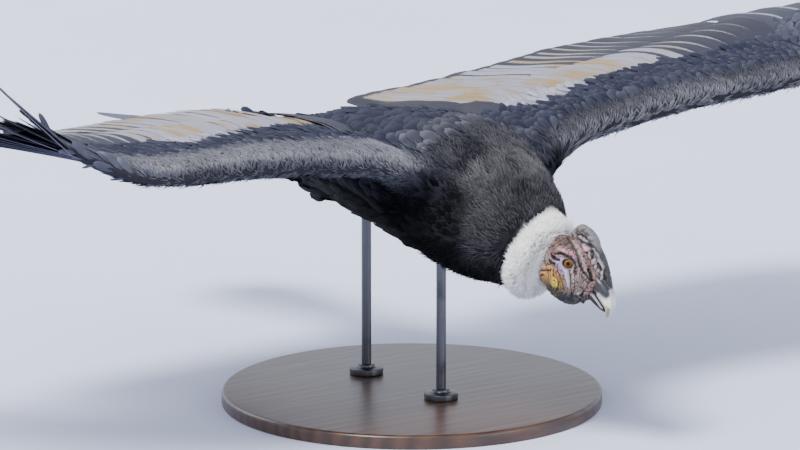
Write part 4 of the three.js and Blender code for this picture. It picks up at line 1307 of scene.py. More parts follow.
# Ruff
def make_ruff():
    """White down all round the ruff's core, fluffed outwards and back over the neck."""
    fluff = {"blades": 9, "spread": 0.9, "curl": 0.35, "lift": 0.5, "thick": 0.05, "droop": 0.15}
    kinds = [barb_tuft(f"down_{i}", 20 + i, **fluff) for i in range(3)]
    draw = np.random.default_rng(5)
    count = 4200
    around = draw.uniform(0, 2 * math.pi, count)
    on_inside = draw.random(count) < 0.3
    over = np.radians(np.where(on_inside, draw.uniform(95, 215, count), draw.uniform(-80, 205, count)))
    core = RUFF_DEPTH * 0.5
    roots = on_ruff(around, over, core - 1.5)
    normals = unit(on_ruff(around, over, core + 1) - on_ruff(around, over, core))
    lie = unit(on_ruff(around, over - 0.1, core) - on_ruff(around, over, core))
    inner = smooth(np.degrees(over), 95, 150)[:, None]
    swirl = 0.5 * lump_ways(roots, 14, 51, 52, 53)
    lie = mix(lie, ruff_axis, inner) + swirl + draw.normal(0, 0.25, lie.shape)
    length = draw.uniform(13, 20, count) * mix(1.0, 1.5, inner[:, 0])
    pitch = np.radians(mix(48, 30, smooth(np.degrees(over), 120, 200)) + draw.normal(0, 8, count))
    # Painted shade on the lower down, below the ruff's centre
    grime = smooth(roots[:, 2], ruff_centre[2] - 0.022, ruff_centre[2] - 0.052) * draw.uniform(0.3, 1, count)
    root_uv = np.stack([around / (2 * math.pi), (over + 1.5) / 5.3], -1) * 0.96 + 0.02
    pieces = []
    for name, seed, chosen in (("ruff_upper", 60, around < math.pi), ("ruff_lower", 61, around >= math.pi)):
        pieces.append(coat(
            name, roots[chosen], normals[chosen], lie[chosen], root_uv[chosen], length[chosen],
            0.8 * length[chosen], pitch[chosen], kinds, down_finish, seed, grime=grime[chosen],
        ))
    for kind in kinds:
        drop(kind)
    return pieces


dress(make_ruff(), "feather_white")

# Head
# Places on the head are in millimetres from between the eyes: x to the bill, y to the bird's
# left and z up, before the head is turned.
head_origin = at(357.6, 18.3, -79)
head_turn = np.array(
    Matrix.Rotation(math.radians(-75), 3, "Z")
    @ Matrix.Rotation(math.radians(28), 3, "Y")
    @ Matrix.Rotation(math.radians(-24), 3, "X")
)
skull_top = through((-54, 4), (-45, 19), (-32, 28), (-14, 31), (4, 29), (20, 23), (36, 16), (48, 12))
skull_bottom = through(
    (-54, -28), (-45, -39), (-30, -45), (-10, -47), (10, -48), (24, -43), (36, -33), (48, -24),
)
skull_half = through((-54, 17), (-45, 27), (-32, 34), (-12, 37), (4, 34), (20, 28), (36, 20), (48, 14))
comb_top = through((-33, 41), (-28, 52), (-12, 55), (4, 51), (14, 44), (26, 39), (44, 28), (60, 16), (71, 6))
comb_bottom = through((-33, 31), (-20, 26), (0, 24), (20, 17), (40, 8), (60, 1), (71, 0))
comb_half = through((-33, 5), (-24, 9), (0, 11), (30, 12), (55, 9), (71, 5))


def on_head(x, y, z):
    parts = np.stack(np.broadcast_arrays(x, y, z), -1).astype(float)
    return head_origin + parts * MM @ head_turn.T


def head_place(points):
    """Where points of the scene lie on the head, in its own millimetres."""
    return (points - head_origin) @ head_turn / MM


def head_loft(name, ends, top, bottom, half, power):
    x = np.linspace(*ends, 48)[:, None]
    angle = full_turn(40)
    c, s = np.cos(angle), np.sin(angle)
    y = half(x) * np.sign(c) * np.abs(c) ** (2 / power)
    z = mix(bottom(x), top(x), 0.5) + (top(x) - bottom(x)) / 2 * np.sign(s) * np.abs(s) ** (2 / power)
    return loft(name, on_head(x, y, z))


def skull_side(x, z):
    """How far from its middle plane the skull's side lies."""
    high = (skull_top(x) - skull_bottom(x)) / 2
    share = np.abs(z - mix(skull_bottom(x), skull_top(x), 0.5)) / high
    return skull_half(x) * np.clip(1 - share ** 2.2, 0.05, 1) ** (1 / 2.2)


def from_line(places, line):
    """How far places lie from a line of straight runs."""
    line = np.asarray(line, float)
    nearest = np.full(len(places), 1e9)
    for a, b in zip(line[:-1], line[1:]):
        run = b - a
        share = np.clip((places - a) @ run / (run @ run), 0, 1)
        nearest = np.minimum(nearest, np.linalg.norm(places - a - share[:, None] * run, axis=1))
    return nearest


def carved(places, marks):
    """The height of folds and creases: each mark has a height, a half width and a line."""
    height = np.zeros(len(places))
    for rise, width, line in marks:
        height += rise * np.exp(-((from_line(places, line) / width) ** 2))
    return height


def painted(places, base, strokes):
    """Colours laid over each other: each stroke has a colour, a half width, a strength and a line."""
    paint = np.tile(np.array(colour(base)), (len(places), 1))
    for hexed, width, strength, line in strokes:
        share = strength * smooth(from_line(places, line), width * 1.45, width * 0.55)
        paint = mix(paint, colour(hexed), share[:, None])
    return paint


def wavering(points, places, reach):
    """Places moved about a little, so that what is drawn by them wanders as skin does."""
    return places + reach * (lump_ways(points, 8, 61, 62) + 0.5 * lump_ways(points, 3.2, 63, 64))


def maze(points, size, turns, seed, run=0.0):
    """Wandering ridges with narrow creases between them, as in wrinkled skin, from -1 to 0.25."""
    field = lumps(points, size, seed) + 0.45 * lumps(points, size * 0.47, seed + 1) + run
    return 0.25 - 1.25 * np.exp(-((np.sin(math.pi * turns * field) / 0.58) ** 2))


def make_skin_finish(name, rough):
    """Bare wrinkled skin in its painted colours, with painted shade down in its creases and painted light on
    its ridges.
    """
    made, tree, shader = finish(name, rough=rough, specular=0.45)
    waver = noise(tree, 260)
    waver = add(tree, "ShaderNodeCombineXYZ", {0: waver, 1: noise(tree, 330, 2), 2: waver}).outputs[0]
    reach = {0: waver, 1: (0.004, 0.004, 0.004)}
    moved = add(tree, "ShaderNodeVectorMath", reach, operation="MULTIPLY").outputs[0]
    place = add(tree, "ShaderNodeVectorMath", {0: object_place(tree), 1: moved}, operation="ADD").outputs[0]
    net = {"Vector": place, "Scale": 620.0, "Randomness": 1.0}
    net = add(tree, "ShaderNodeTexVoronoi", net, feature="DISTANCE_TO_EDGE")
    cells = ease(tree, net.outputs["Distance"], 0.0, 0.22)
    loops = reckon(tree, "SINE", product(tree, noise(tree, 190, 1.5), 46.0))
    loops = ramp(tree, loops, 0.5, 0.5)
    mottled = ramp(tree, noise(tree, 90, 4), 0.5, 0.75)
    # Painted shade along the fine creases between the skin's small cells
    crease = ramp(tree, cells, 0.22, 0.78)
    crease = product(tree, crease, ramp(tree, loops, 0.3, 0.8))
    base = shaded(tree, painted_colour(tree), product(tree, crease, mottled))
    # Painted shade in the creases and painted light on the ridges, stored on the mesh
    base = shaded(tree, base, read(tree, "hollow"))
    feed(tree, shader, base, ramp(tree, cells, -0.12, rough + 0.06))
    height = ramp(tree, loops, 0.6, product(tree, cells, 0.5))
    bump(tree, shader, height, 0.55, 0.0006)
    return made


# Folds and creases on the side of the face: height, half width, line
FACE_MARKS = (
    (-2.6, 1.17, (
        (-31, 28), (-15, 25.5), (-5, 22.5), (0, 20.5), (6, 17.5), (12, 12.5), (18, 8), (25, 5), (33, 3),
        (40, 1),
    )),
    (1.2, 1.6, ((-20, 29), (0, 24.5), (10, 19.5), (20, 13), (27, 9), (33, 6))),
    (-1.2, 0.78, ((-2, 29), (8, 24), (15, 20), (22, 16))),
    (-4.2, 1.79, ((29, 11.5), (33, 9.5), (38, 6), (42, 3))),
    (-1.1, 0.78, ((-24, 14.5), (-15, 14.5), (-8, 14.8), (-2, 12))),
    (1.4, 2.4, ((-20, 10), (-10, 11.5), (0, 14), (8, 12.5))),
    (-2.6, 1.33, ((-17, 1), (-13, 6), (-7, 8.6), (0, 9.8), (7, 9.6), (12, 6.5), (17, 2))),
    (-2.6, 1.56, ((-22, -3), (-16, -5), (-9, -3.5))),
    (1.2, 1.8, ((-20, -8), (-13, -8.5), (-6, -6))),
    (-2.2, 1.48, ((-20, -11), (-14, -13.5), (-9, -11))),
    (-1.2, 1.09, ((-19, -17), (-15, -15.5))),
    (-1.8, 1.01, ((-33, -9), (-31, -14), (-26, -17), (-20, -20))),
    (1.2, 2.4, ((-32, -20), (-24, -25), (-17, -22), (-11, -18))),
    (-2.2, 1.25, ((-36, -26), (-30, -31), (-24, -32), (-18, -29), (-11, -23.5))),
    (1.4, 2, ((-38, -36), (-30, -37), (-22, -34), (-16, -30))),
    (-2.2, 1.25, ((-42, -42), (-32, -42), (-24, -38), (-17, -33.5))),
    (-1.5, 0.78, ((9, -3), (16, -9), (22, -16), (28, -25), (31, -33))),
    (-1.2, 0.7, ((4, -12), (12, -17), (19, -23), (25, -30))),
    (-1.2, 0.7, ((0, -17), (8, -20), (15, -26), (20, -33))),
    (0.9, 1.6, ((8, -10), (16, -17), (23, -26))),
    (-1.7, 0.86, ((17, 1), (22, -5), (29, -15), (34, -24), (38, -31))),
    (-1.5, 1.25, ((41, -2), (42, -12), (41, -24), (38, -31))),
    (-1.0, 0.78, ((24, 0), (32, -3), (39, -4))),
    (-0.9, 0.7, ((10, 2), (17, -1), (23, -4))),
    (1.0, 2.2, ((8, -34), (2, -38), (-3, -43))),
    (-1.6, 1.09, ((9, -28), (11, -36), (9, -44))),
)
# Colours on the face: colour, half width, strength, line
FACE_PAINT = (
    ("7c5b50", 16, 0.9, ((-52, 0), (-40, 24), (-20, 30))),
    ("8e625a", 8, 0.9, ((-38, 8), (-34, -8), (-38, -22))),
    ("68504a", 6, 0.8, ((-28, 20), (-12, 22), (-4, 18))),
    ("b08486", 4.5, 0.9, ((-18, 11), (-8, 12.5), (2, 15), (6, 14))),
    ("6c5358", 3.6, 0.9, ((6, 16), (14, 9), (22, 4), (32, 1))),
    ("9c8483", 3.4, 0.9, ((-16, 28), (2, 24), (11, 19), (20, 13), (28, 8))),
    ("c09a98", 2.6, 0.7, ((2, 27), (8, 26))),
    ("b09cc2", 7.0, 0.95, ((-6, -1), (0, -6), (6, -8))),
    ("bda8c4", 3.6, 0.95, ((4, -9), (11, -12), (17, -17), (21, -22))),
    ("a28cb6", 3.0, 0.8, ((10, 3), (14, -1), (18, -6))),
    ("8d7480", 3.4, 0.8, ((17, 4), (23, -2), (28, -5))),
    ("a58c88", 5.0, 0.9, ((-30, -6), (-22, -12), (-14, -17))),
    ("b79a92", 4.5, 0.9, ((-30, -24), (-22, -24))),
    ("b37f47", 8.5, 0.95, ((-14, -24), (-4, -24), (4, -28))),
    ("d89c48", 7.5, 0.95, ((-14, -36), (-6, -32), (0, -34))),
    ("b08454", 4.5, 0.9, ((-24, -38), (-16, -42), (-6, -44))),
    ("fadb45", 6.0, 1.0, ((3, -33), (7, -40), (9, -47))),
    ("a9843e", 4.2, 0.9, ((12, -22), (13, -28), (15, -34))),
    ("7d6c46", 3.6, 0.9, ((15, -36), (20, -30))),
    ("35332f", 4.2, 0.95, ((12, -50), (22, -45), (29, -38), (32, -33))),
    ("b8a295", 4.3, 1.0, ((14, -1), (22, -9), (29, -18), (34, -27), (36, -32))),
    ("8c7672", 6.5, 1.0, ((29, -4), (34, -10), (37, -18))),
    ("a89a92", 3.2, 0.9, ((38, -22), (37, -29))),
    # Painted shade: near-black strokes down the deep creases, in this row and the next three
    ("1c181b", 1.9, 1.0, ((29, 11.5), (33, 9.5), (38, 6), (42, 3))),
    ("2a1a17", 1.7, 0.9, ((-17, 1), (-13, 6), (-8, 8))),
    ("271a17", 1.8, 0.9, ((-20, -4), (-14, -5), (-10, -4))),
    ("35201f", 1.6, 0.8, ((-19, -12), (-14, -13.5), (-10, -11))),
    ("a2876f", 2.0, 0.9, ((-13, 1.5), (-8, 3.5))),
    # Painted shade down the crease over the eye
    ("39303c", 1.5, 0.9, ((-6, 6), (-2, 8.5), (6, 9), (11, 6))),
)
EYE_PLACE = (4.8, 0.4)


def face_shapes():
    """Closed solids of the skull, the neck's upper end, the throat and the lappets."""
    shapes = [head_loft("skull_shape", (-54, 48), skull_top, skull_bottom, skull_half, 2.2)]
    start, end = head_place(NECK_ENDS)
    line = on_head(*np.array([mix(start, end, 0.35), end, (-26, 0, -8)]).T)
    shapes.append(tube("neck_shape", line, [34, 35, 33], 40, 20))
    throat = on_head([40, 26, 0, -22], 0, [-27, -40, -45, -43])
    shapes.append(tube("throat_shape", throat, [4, 7, 7, 4]))
    for _, side in SIDES:
        x, z = np.array([12, 19, 26, 32, 36.5, 38]), np.array([3, -6, -14, -22, -30, -35])
        inset = np.array([1.5, 1.0, 0.8, 0.4, 0.2, 1.0])
        y = side * (skull_side(x, np.maximum(z, skull_bottom(x) + 4)) - inset)
        shapes.append(tube("lappet_shape", on_head(x, y, z), [1.8, 3.2, 3.8, 4.0, 4.2, 3.4]))
        x, z = np.array([24, 31, 35, 37]), np.array([0, -7, -15, -25])
        y = side * (skull_side(x, z) - 1.8)
        shapes.append(tube("lappet_shape", on_head(x, y, z), [2.5, 4.4, 5.0, 3.0]))
    return shapes


def face_relief(points, flat, flank):
    """The height of the face's folds and of the finer wrinkles on its cheeks, crown and the rest."""
    x, z = flat.T
    cheek = smooth(from_line(flat, ((-14, -32), (2, -32))), 19, 9)
    crown = np.clip(smooth(x, -14, -26) * smooth(z, -16, -4) + smooth(x, -40, -52), 0, 1)
    smoother = smooth(from_line(flat, ((0, -6), (8, -8), (18, -16), (26, -28))), 3, 8)
    general = (1 - cheek) * (1 - 0.6 * crown) * (0.2 + 0.8 * smoother)
    from_eye = np.hypot(x - 5, z)
    relief = carved(flat, FACE_MARKS) * flank
    relief += 1.8 * cheek * maze(points, 9, 1.1, 71, 0.15 * x + 0.15 * z)
    relief += 1.4 * general * maze(points, 7.5, 1.15, 73, 0.12 * from_eye)
    relief += 1.7 * crown * maze(points, 9, 1.1, 75, 0.2 * from_eye)
    return relief + 0.4 * lumps(points, 2.4, 76)


def make_face():
    """The head's bare skin: skull, neck, lappets and throat in one, wrinkled and coloured."""
    made = fused("face", face_shapes(), 0.8, passes=3)
    points, normals = surface_of(made)
    place, facing = head_place(points), normals @ head_turn
    flank = smooth(np.abs(facing[:, 1]), 0.15, 0.5) * smooth(place[:, 0], -60, -50)
    flat = wavering(points, place[:, [0, 2]], 1.1)
    relief = face_relief(points, flat, flank)
    # The eye's opening, its sunk edge and the lid's margin round it
    away = np.hypot((place[:, 0] - EYE_PLACE[0]) / 6.6, (place[:, 2] - EYE_PLACE[1]) / 5.4)
    calm = smooth(away, 1.05, 1.7)
    opening = smooth(away, 1.12, 0.92) * (np.abs(place[:, 1]) > 12)
    relief = relief * calm + 0.9 * np.exp(-(((away - 1.22) / 0.2) ** 2)) - 6.5 * opening
    raise_surface(made, points, normals, relief)
    paint = painted(flat, "8b6a63", FACE_PAINT)
    paint = mix(paint, colour("6e4c50"), 0.8 * smooth(away, 1.42, 1.2)[:, None])
    # Darker under the head: painted shade where the skin faces down, and a dark band along the jaw's lower
    # edge
    jaw = smooth(from_line(flat, ((14, -52), (30, -47), (42, -31))), 4.5, 2.5)
    under = np.maximum(smooth(facing[:, 2], -0.35, -0.75), jaw) * smooth(flat[:, 0], -20, -2)
    paint = mix(paint, colour("2a282b"), (0.9 * under)[:, None])
    paint = mix(paint, colour("8c7871"), smooth(place[:, 0], -44, -54)[:, None])
    store(made.data, "paint", paint)
    # Painted shade in the creases and painted light on the ridges, from the relief's height
    store(made.data, "hollow", 0.76 * np.clip(1.0 + 0.5 * np.clip(relief, -3.2, 1.2) * calm, 0.13, 1.5))
    made.data.materials.append(make_skin_finish("face_skin", 0.5))
    return made


# Folds, beads and creases on the comb's sides
COMB_MARKS = (
    (-1.6, 1.6, ((-27, 40), (-16, 41), (-6, 41.5), (4, 40), (14, 39), (24, 37), (33, 32))),
    (0.9, 2.0, ((-18, 36), (-8, 37), (-2, 38))),
    (-1.5, 1.8, ((-25, 37), (-20, 36.5))),
    (-1.2, 1.2, ((-17, 33), (-6, 33), (0, 36), (8, 36), (15, 33.5), (22, 31), (28, 27.5))),
    (1.0, 1.6, ((-2, 33), (8, 33), (12, 31))),
    (1.0, 1.5, ((12, 37), (18, 35.5), (26, 32), (32, 28), (38, 26), (44, 22), (49, 13.5))),
    (-1.5, 1.2, ((10, 31.5), (15, 31.5), (19, 28.5), (21, 25))),
    (-1.8, 1.6, ((31, 25.5), (36, 23.2), (41, 21.5))),
    (1.6, 3.0, ((2, 28), (6, 28.5))),
    (-1.3, 1.0, ((9, 30), (8, 25), (4, 23.5))),
    (1.0, 1.8, ((13, 27), (17, 22))),
    (-1.1, 0.9, ((20, 26), (21, 21), (19, 19))),
    (1.3, 2.0, ((24, 26), (26, 21), (24, 18))),
    (-1.1, 0.9, ((28, 27), (29, 22), (29, 15))),
    (1.1, 1.9, ((31, 24), (33, 18))),
    (-1.0, 0.9, ((35, 21), (36, 15), (33, 13))),
    (1.0, 2.2, ((38, 18), (38, 13))),
    (-1.0, 0.9, ((41, 19), (43, 13), (44, 8))),
    (1.0, 1.7, ((45, 19), (48, 13), (51, 7))),
    (-2.6, 3.2, ((46, 24), (51, 16.5), (57, 9), (63, 5))),
)
# Colours on the comb: colour, half width, strength, line
COMB_PAINT = (
    ("7e7a7c", 6.5, 1.0, ((-31, 46), (-24, 50), (-10, 52), (2, 48), (12, 43), (24, 39))),
    ("7f726d", 4.0, 0.8, ((-27, 44), (-20, 45), (-12, 44))),
    ("968f92", 3.2, 0.9, ((-16, 36), (-8, 37), (-2, 38.5))),
    ("9a8685", 3.2, 0.9, ((-30, 33), (-14, 29), (-4, 28))),
    ("a98f90", 3.0, 0.9, ((-4, 31), (8, 33.5))),
    ("bd9694", 4.2, 1.0, ((1, 27.5), (6, 28.5))),
    ("8e7f82", 3.4, 0.9, ((13, 27), (17, 22), (24, 20))),
    ("968a91", 3.0, 0.9, ((24, 26), (27, 20), (33, 18))),
    ("8b8486", 2.4, 0.9, ((13, 37), (20, 35), (30, 28))),
    ("a39493", 2.0, 0.9, ((32, 28.5), (38, 26), (44, 21), (48, 14))),
    ("858182", 3.6, 0.9, ((36, 16), (41, 12), (46, 8), (52, 6))),
    # Painted shade: dark strokes down the deep creases, in this row and the next two
    ("2b2628", 2.2, 0.8, ((32, 25), (37, 23), (41, 21.5))),
    ("4b413c", 2.2, 0.7, ((-25, 37.5), (-20, 37))),
    ("3a302e", 1.7, 0.8, ((11, 32), (16, 31.5), (19, 28.5))),
)


def comb_shapes():
    """Closed solids of the comb, its front end and the folds on its sides."""
    shapes = [head_loft("comb_shape", (-33, 71), comb_top, comb_bottom, comb_half, 2.4)]
    shapes.append(tube("comb_shape", on_head([56, 64, 70], 0, [6, 2.5, 0]), [6, 5.6, 4.6]))
    for _, side in SIDES:
        for line, radii in (
            (((-25, 46), (-6, 43), (18, 33), (40, 20)), (1.4, 2.6, 2.6, 1.6)),
            (((-22, 33), (2, 30), (26, 22), (46, 12)), (1.4, 3.0, 3.0, 2.0)),
        ):
            x, z = np.array(line, float).T
            fold = on_head(x, side * (comb_half(x) - 1.6), z)
            shapes.append(tube("fold_shape", fold, radii))
    return shapes


def make_comb():
    """The fleshy comb from the crown to the bill, with folded and beaded sides under a smooth rim."""
    made = fused("comb_skin", comb_shapes(), 0.75, passes=2)
    points, normals = surface_of(made)
    place, facing = head_place(points), normals @ head_turn
    flank = smooth(np.abs(facing[:, 1]), 0.3, 0.7)
    flat = wavering(points, place[:, [0, 2]], 0.6)
    x, z = flat.T
    rim = smooth(z, comb_top(x) - 8, comb_top(x) - 3) * smooth(x, 66, 30)
    wrinkles = 1.3 * maze(points, 9, 1.0, 81, 0.06 * z) + 0.3 * lumps(points, 2.4, 83)
    relief = carved(flat, COMB_MARKS) * flank + wrinkles * (1 - 0.8 * rim) * smooth(x, 62, 48)
    raise_surface(made, points, normals, relief)
    paint = painted(flat, "8b8082", COMB_PAINT)
    # Painted shade over the comb's front face, below its top edge
    front = smooth(x + 0.62 * z, 57.5, 60.5) * smooth(z, comb_top(x) + 2, comb_top(x) - 1.5)
    paint = mix(paint, colour("24232c"), front[:, None])
    # The comb's upward-facing top, chosen by its facing: painted light, pale, at the back and painted shade,
    # dark, towards the front
    top = smooth(facing[:, 2] + 0.8 * facing[:, 0], 0.72, 0.95) * (1 - smooth(np.abs(facing[:, 1]), 0.5, 0.8))
    pale, dark = np.array(colour("7d7c82")), np.array(colour("29252e"))
    top_colour = mix(pale, dark, smooth(x, 12, 26)[:, None])
    paint = mix(paint, top_colour, (0.9 * top)[:, None])
    nose = smooth(from_line(flat, ((63, 1), (70, 1.5))), 5.2, 3.8) * smooth(place[:, 0], 61, 65)
    paint = mix(paint, colour("38353e"), nose[:, None])
    store(made.data, "paint", paint)
    # Painted shade in the creases and painted light on the ridges, from the relief's height
    store(made.data, "hollow", 0.76 * np.clip(1.0 + 0.6 * np.clip(relief, -2.4, 1.0), 0.08, 1.5))
    made.data.materials.append(make_skin_finish("comb_skin", 0.46))
    return made


def bill_half(name, keys, drop_share):
    """Half of the bill, through keys of place, half width and half height, its inner side flatter."""
    keys = np.array(keys, float)
    t = np.linspace(0, len(keys) - 1, 90)
    x, z, wide, high = (through(*enumerate(keys[:, i]))(t)[:, None] for i in range(4))
    dx, dz = np.gradient(x[:, 0])[:, None], np.gradient(z[:, 0])[:, None]
    long = np.hypot(dx, dz)
    angle = full_turn(56)
    c, s = np.cos(angle), np.sin(angle)
    rise = high * np.where(s > 0, np.abs(s) ** 0.9, -drop_share * np.abs(s) ** 0.55)
    y = wide * np.sign(c) * np.abs(c) ** np.where(s > 0, 0.95, 0.45)
    return loft(name, on_head(x - dz / long * rise, y, z + dx / long * rise))


def make_horn_finish():
    """Smooth horn in its painted colours, with faint streaks along the bill."""
    made, tree, shader = finish("bill_horn", rough=0.36, specular=0.35, Coat_Weight=0.05, Coat_Roughness=0.3)
    streaks = noise(tree, 260, 4, 0.6, (1.0, 0.35, 1.0))
    shade = ramp(tree, streaks, 0.36, 0.82)
    rough = ramp(tree, noise(tree, 500), 0.2, 0.24)
    feed(tree, shader, shaded(tree, painted_colour(tree), shade), rough)
    bump(tree, shader, noise(tree, 420, 4, 0.6, (1.0, 0.3, 1.0)), 0.35, 0.0003)
    return made


def make_bill():
    """The hooked upper bill, ivory from a dark base, and the dark lower one with its pale edge."""
    horn = make_horn_finish()
    upper = bill_half("upper_bill", (
        (40, 5, 11, 10), (50, 3.0, 12, 11), (60, 0, 11.2, 11.6), (67, -2.4, 10.2, 11), (73, -5.8, 8.8, 10.4),
        (78.5, -10.4, 7.4, 8.8), (82, -15, 5.4, 6.8), (84.6, -20, 3.6, 4.4), (85.4, -24.6, 1.4, 1.8),
        (85.2, -26.6, 0.5, 0.6),
    ), 0.86)
    points = points_of(upper)
    flat = wavering(points, head_place(points)[:, [0, 2]], 0.4)
    paint = painted(flat, "cfccc8", (
        ("26242b", 9.0, 1.0, ((38, 8), (50, 6), (58, 4), (66, 1.5))),
        ("2c2a32", 4.8, 1.0, ((58, 0), (68.5, -1))),
        ("2e2c32", 5.0, 1.0, ((44, -6), (52, -5), (56, -2))),
        ("a89da0", 1.3, 0.8, ((46, -5.5), (54, -8), (60, -9.6))),
        ("a09a93", 3.0, 0.7, ((62, -12), (70, -16), (76, -18))),
        ("8f8f66", 4.0, 0.8, ((77, -19), (81, -17), (83, -20))),
        ("6f7250", 3.2, 0.95, ((84, -17), (85.5, -22), (85, -27))),
        ("9a9da6", 2.2, 0.8, ((70, 6.5), (78, 0.5), (84, -7), (88, -15))),
    ))
    edge = smooth(from_line(flat, ((50, -9.8), (60, -11.8), (68, -14.4), (76, -18.5), (80, -22))), 1.6, 0.6)
    paint = mix(paint, colour("4a4640"), (0.7 * edge)[:, None])
    store(upper.data, "paint", paint)
    lower = bill_half("lower_bill", (
        (36, -14.5, 9.4, 5.6), (46.6, -15.5, 9.2, 5.4), (58, -18, 8.2, 4.6), (66, -19.4, 6.8, 3.7),
        (73, -20.6, 5, 2.8), (78.5, -21.6, 2.2, 1.2),
    ), 1.0)
    points = points_of(lower)
    flat = wavering(points, head_place(points)[:, [0, 2]], 0.3)
    paint = painted(flat, "1b1a1f", (
        ("9c9897", 1.3, 0.9, ((54, -14.6), (64, -17.2), (74, -19.6))),
        ("8e8689", 2.0, 0.8, ((44, -12.5), (52, -14))),
        ("20201f", 1.0, 0.9, ((46, -9.6), (60, -13), (76, -19))),
    ))
    store(lower.data, "paint", paint)
    for made in (upper, lower):
        made.data.materials.append(horn)
    return upper, lower


def make_eye_finish():
    """A wet eye: dark pupil, amber iris with fine spokes and a dark rim, by how far it is from the gaze."""
    made, tree, shader = finish("eye_gloss", rough=0.1, specular=0.12, Coat_Weight=0.04, Coat_Roughness=0.03)
    around, out = map_places(tree, "gaze")
    place = {0: product(tree, around, 60.0), 1: product(tree, out, 6.0)}
    place = add(tree, "ShaderNodeCombineXYZ", place).outputs[0]
    spokes = {"Vector": place, "Scale": 1.0, "Detail": 3.0}
    spokes = add(tree, "ShaderNodeTexNoise", spokes).outputs["Fac"]
    iris = blend(tree, ease(tree, out, 0.26, 0.60), "38240e", "7c541c")
    iris = shaded(tree, iris, ramp(tree, spokes, 0.9, 0.55))
    base = blend(tree, ease(tree, out, 0.27, 0.23), iris, "040303")
    base = blend(tree, ease(tree, out, 0.66, 0.74), base, "1c1214")
    feed(tree, shader, base)
    return made


def make_eyes():
    """Two eyeballs with their gaze turned forward, bulging a little at the cornea."""
    wet = make_eye_finish()
    eyes = []
    radius, across, down = 8.4, 48, 36
    for label, side in SIDES:
        gaze = unit(np.array([0.46, side * 0.88, 0.07]))
        first = unit(np.cross(gaze, (0.1, 0.0, 1.0)))
        second = np.cross(gaze, first)
        polar = np.linspace(0, math.pi, down + 1)[1:-1]
        turn = full_turn(across)
        ring = np.cos(turn)[:, None] * first + np.sin(turn)[:, None] * second
        ball = np.cos(polar)[:, None, None] * gaze + np.sin(polar)[:, None, None] * ring
        bulge = 1 + 0.05 * smooth(polar, 0.62, 0.30)[:, None, None]
        centre = np.array([EYE_PLACE[0] - 2.6, side * 26.2, EYE_PLACE[1]])
        made = loft(f"{label}_eye", on_head(*np.moveaxis(centre + ball * radius * bulge, -1, 0)))
        aim = unit(head_place(points_of(made)) - centre)
        polar_there = np.arccos(np.clip(aim @ gaze, -1, 1))
        turn_there = (np.arctan2(aim @ second, aim @ first) / (2 * math.pi)) % 1
        with_map(made, np.stack([turn_there, polar_there], -1), "gaze")
        made.data.materials.append(wet)
        eyes.append(made)
    return eyes


face, comb = make_face(), make_comb()
upper_bill, lower_bill = make_bill()
left_eye, right_eye = make_eyes()
dressed += [
    (face, "face_skin", "head"), (comb, "comb_skin", "comb"),
    (upper_bill, "bill_horn", "bill_upper"), (lower_bill, "bill_horn", "bill_lower"),
    (left_eye, "eye_gloss", "eye_left"), (right_eye, "eye_gloss", "eye_right"),
]


# Legs
TOE_LENGTHS = (78, 104, 74)


def leg_lines(side):
    """The shank's ends, and each toe's line, radii and claw tip, the short hind toe last."""
    heel, toe_root = at(-206, side * 46, -47), at(-294, side * 42, -60)
    ball = toe_root + way(-1, 0, -0.1) * 5 * MM
    toes = []
    for i, length in enumerate(TOE_LENGTHS):
        out = side * (i - 1) * 0.24

        def toe(share, drop):
            return ball + np.array([out * length * share, length * share, -drop]) * MM

        toes.append(((ball, toe(0.3, -3), toe(0.65, -2), toe(0.86, 5)), (8.5, 7, 6.2, 4.2), toe(0.99, 17)))

    def inward(x, y, z):
        return ball + np.array([-side * x, y, z]) * MM

    toes.append(((ball, inward(12, 4, 0), inward(19, 12, -4)), (7, 5, 3.6), inward(20, 21, -11)))
    return heel, toe_root, toes


def make_leg_finish():
    """Grey scaled skin: small round scales between broad plates, paler where they are worn."""
    made, tree, shader = finish("leg_skin", rough=0.55, specular=0.4)
    scales = {"Vector": object_place(tree), "Scale": 480.0, "Randomness": 0.8}
    scales = add(tree, "ShaderNodeTexVoronoi", scales, feature="DISTANCE_TO_EDGE")
    cell = ease(tree, scales.outputs["Distance"], 0.0, 0.16)
    plates = read(tree, "plates")
    base = blend(tree, noise(tree, 70), "4b4846", "6d6863")
    base = blend(tree, ease(tree, plates, 0.55, 1.0), base, "827c74")
    base = shaded(tree, base, ramp(tree, cell, 0.5, 0.5))
    base = shaded(tree, base, ramp(tree, plates, 0.45, 0.6))
    feed(tree, shader, base, ramp(tree, cell, -0.15, 0.62))
    bump(tree, shader, cell, 0.5, 0.0007)
    return made


def make_claw_finish():
    """Dark horn claws, with browner streaks in the horn."""
    made, tree, shader = finish("claw_horn", rough=0.3, specular=0.5)
    base = blend(tree, noise(tree, 240, 3, 0.6, (1, 0.4, 1)), "171412", "3a332d")
    feed(tree, shader, base, ramp(tree, noise(tree, 400), 0.25, 0.22))
    bump(tree, shader, noise(tree, 500, 3, 0.6, (1, 0.3, 1)), 0.3, 0.0003)
    return made


def leg_shapes(side):
    """Closed solids of one shank, foot and its toes, swollen at their knuckles."""
    heel, toe_root, toes = leg_lines(side)
    start = heel + unit(heel - toe_root) * 14 * MM
    middle_toe = toes[1][0][1]
    shank = (start, mix(heel, toe_root, 0.5), toe_root)
    ball = (toe_root, mix(toe_root, middle_toe, 0.35), middle_toe)
    shapes = [tube("shank_shape", shank, [8.6, 7.4, 8.8], 20, 24)]
    shapes.append(tube("ball_shape", ball, [9.4, 9.2, 6.5], 20, 14))
    back = np.array([0, 4, 0]) * MM
    for line, radii, _ in toes:
        shapes.append(tube("toe_shape", line, radii, 18, 24))
        for knuckle in line[1:-1]:
            swelling = (2.5, radii[1] * 1.04, 2.5)
            shapes.append(tube("knuckle_shape", (knuckle - back, knuckle, knuckle + back), swelling, 16, 10))
    return shapes


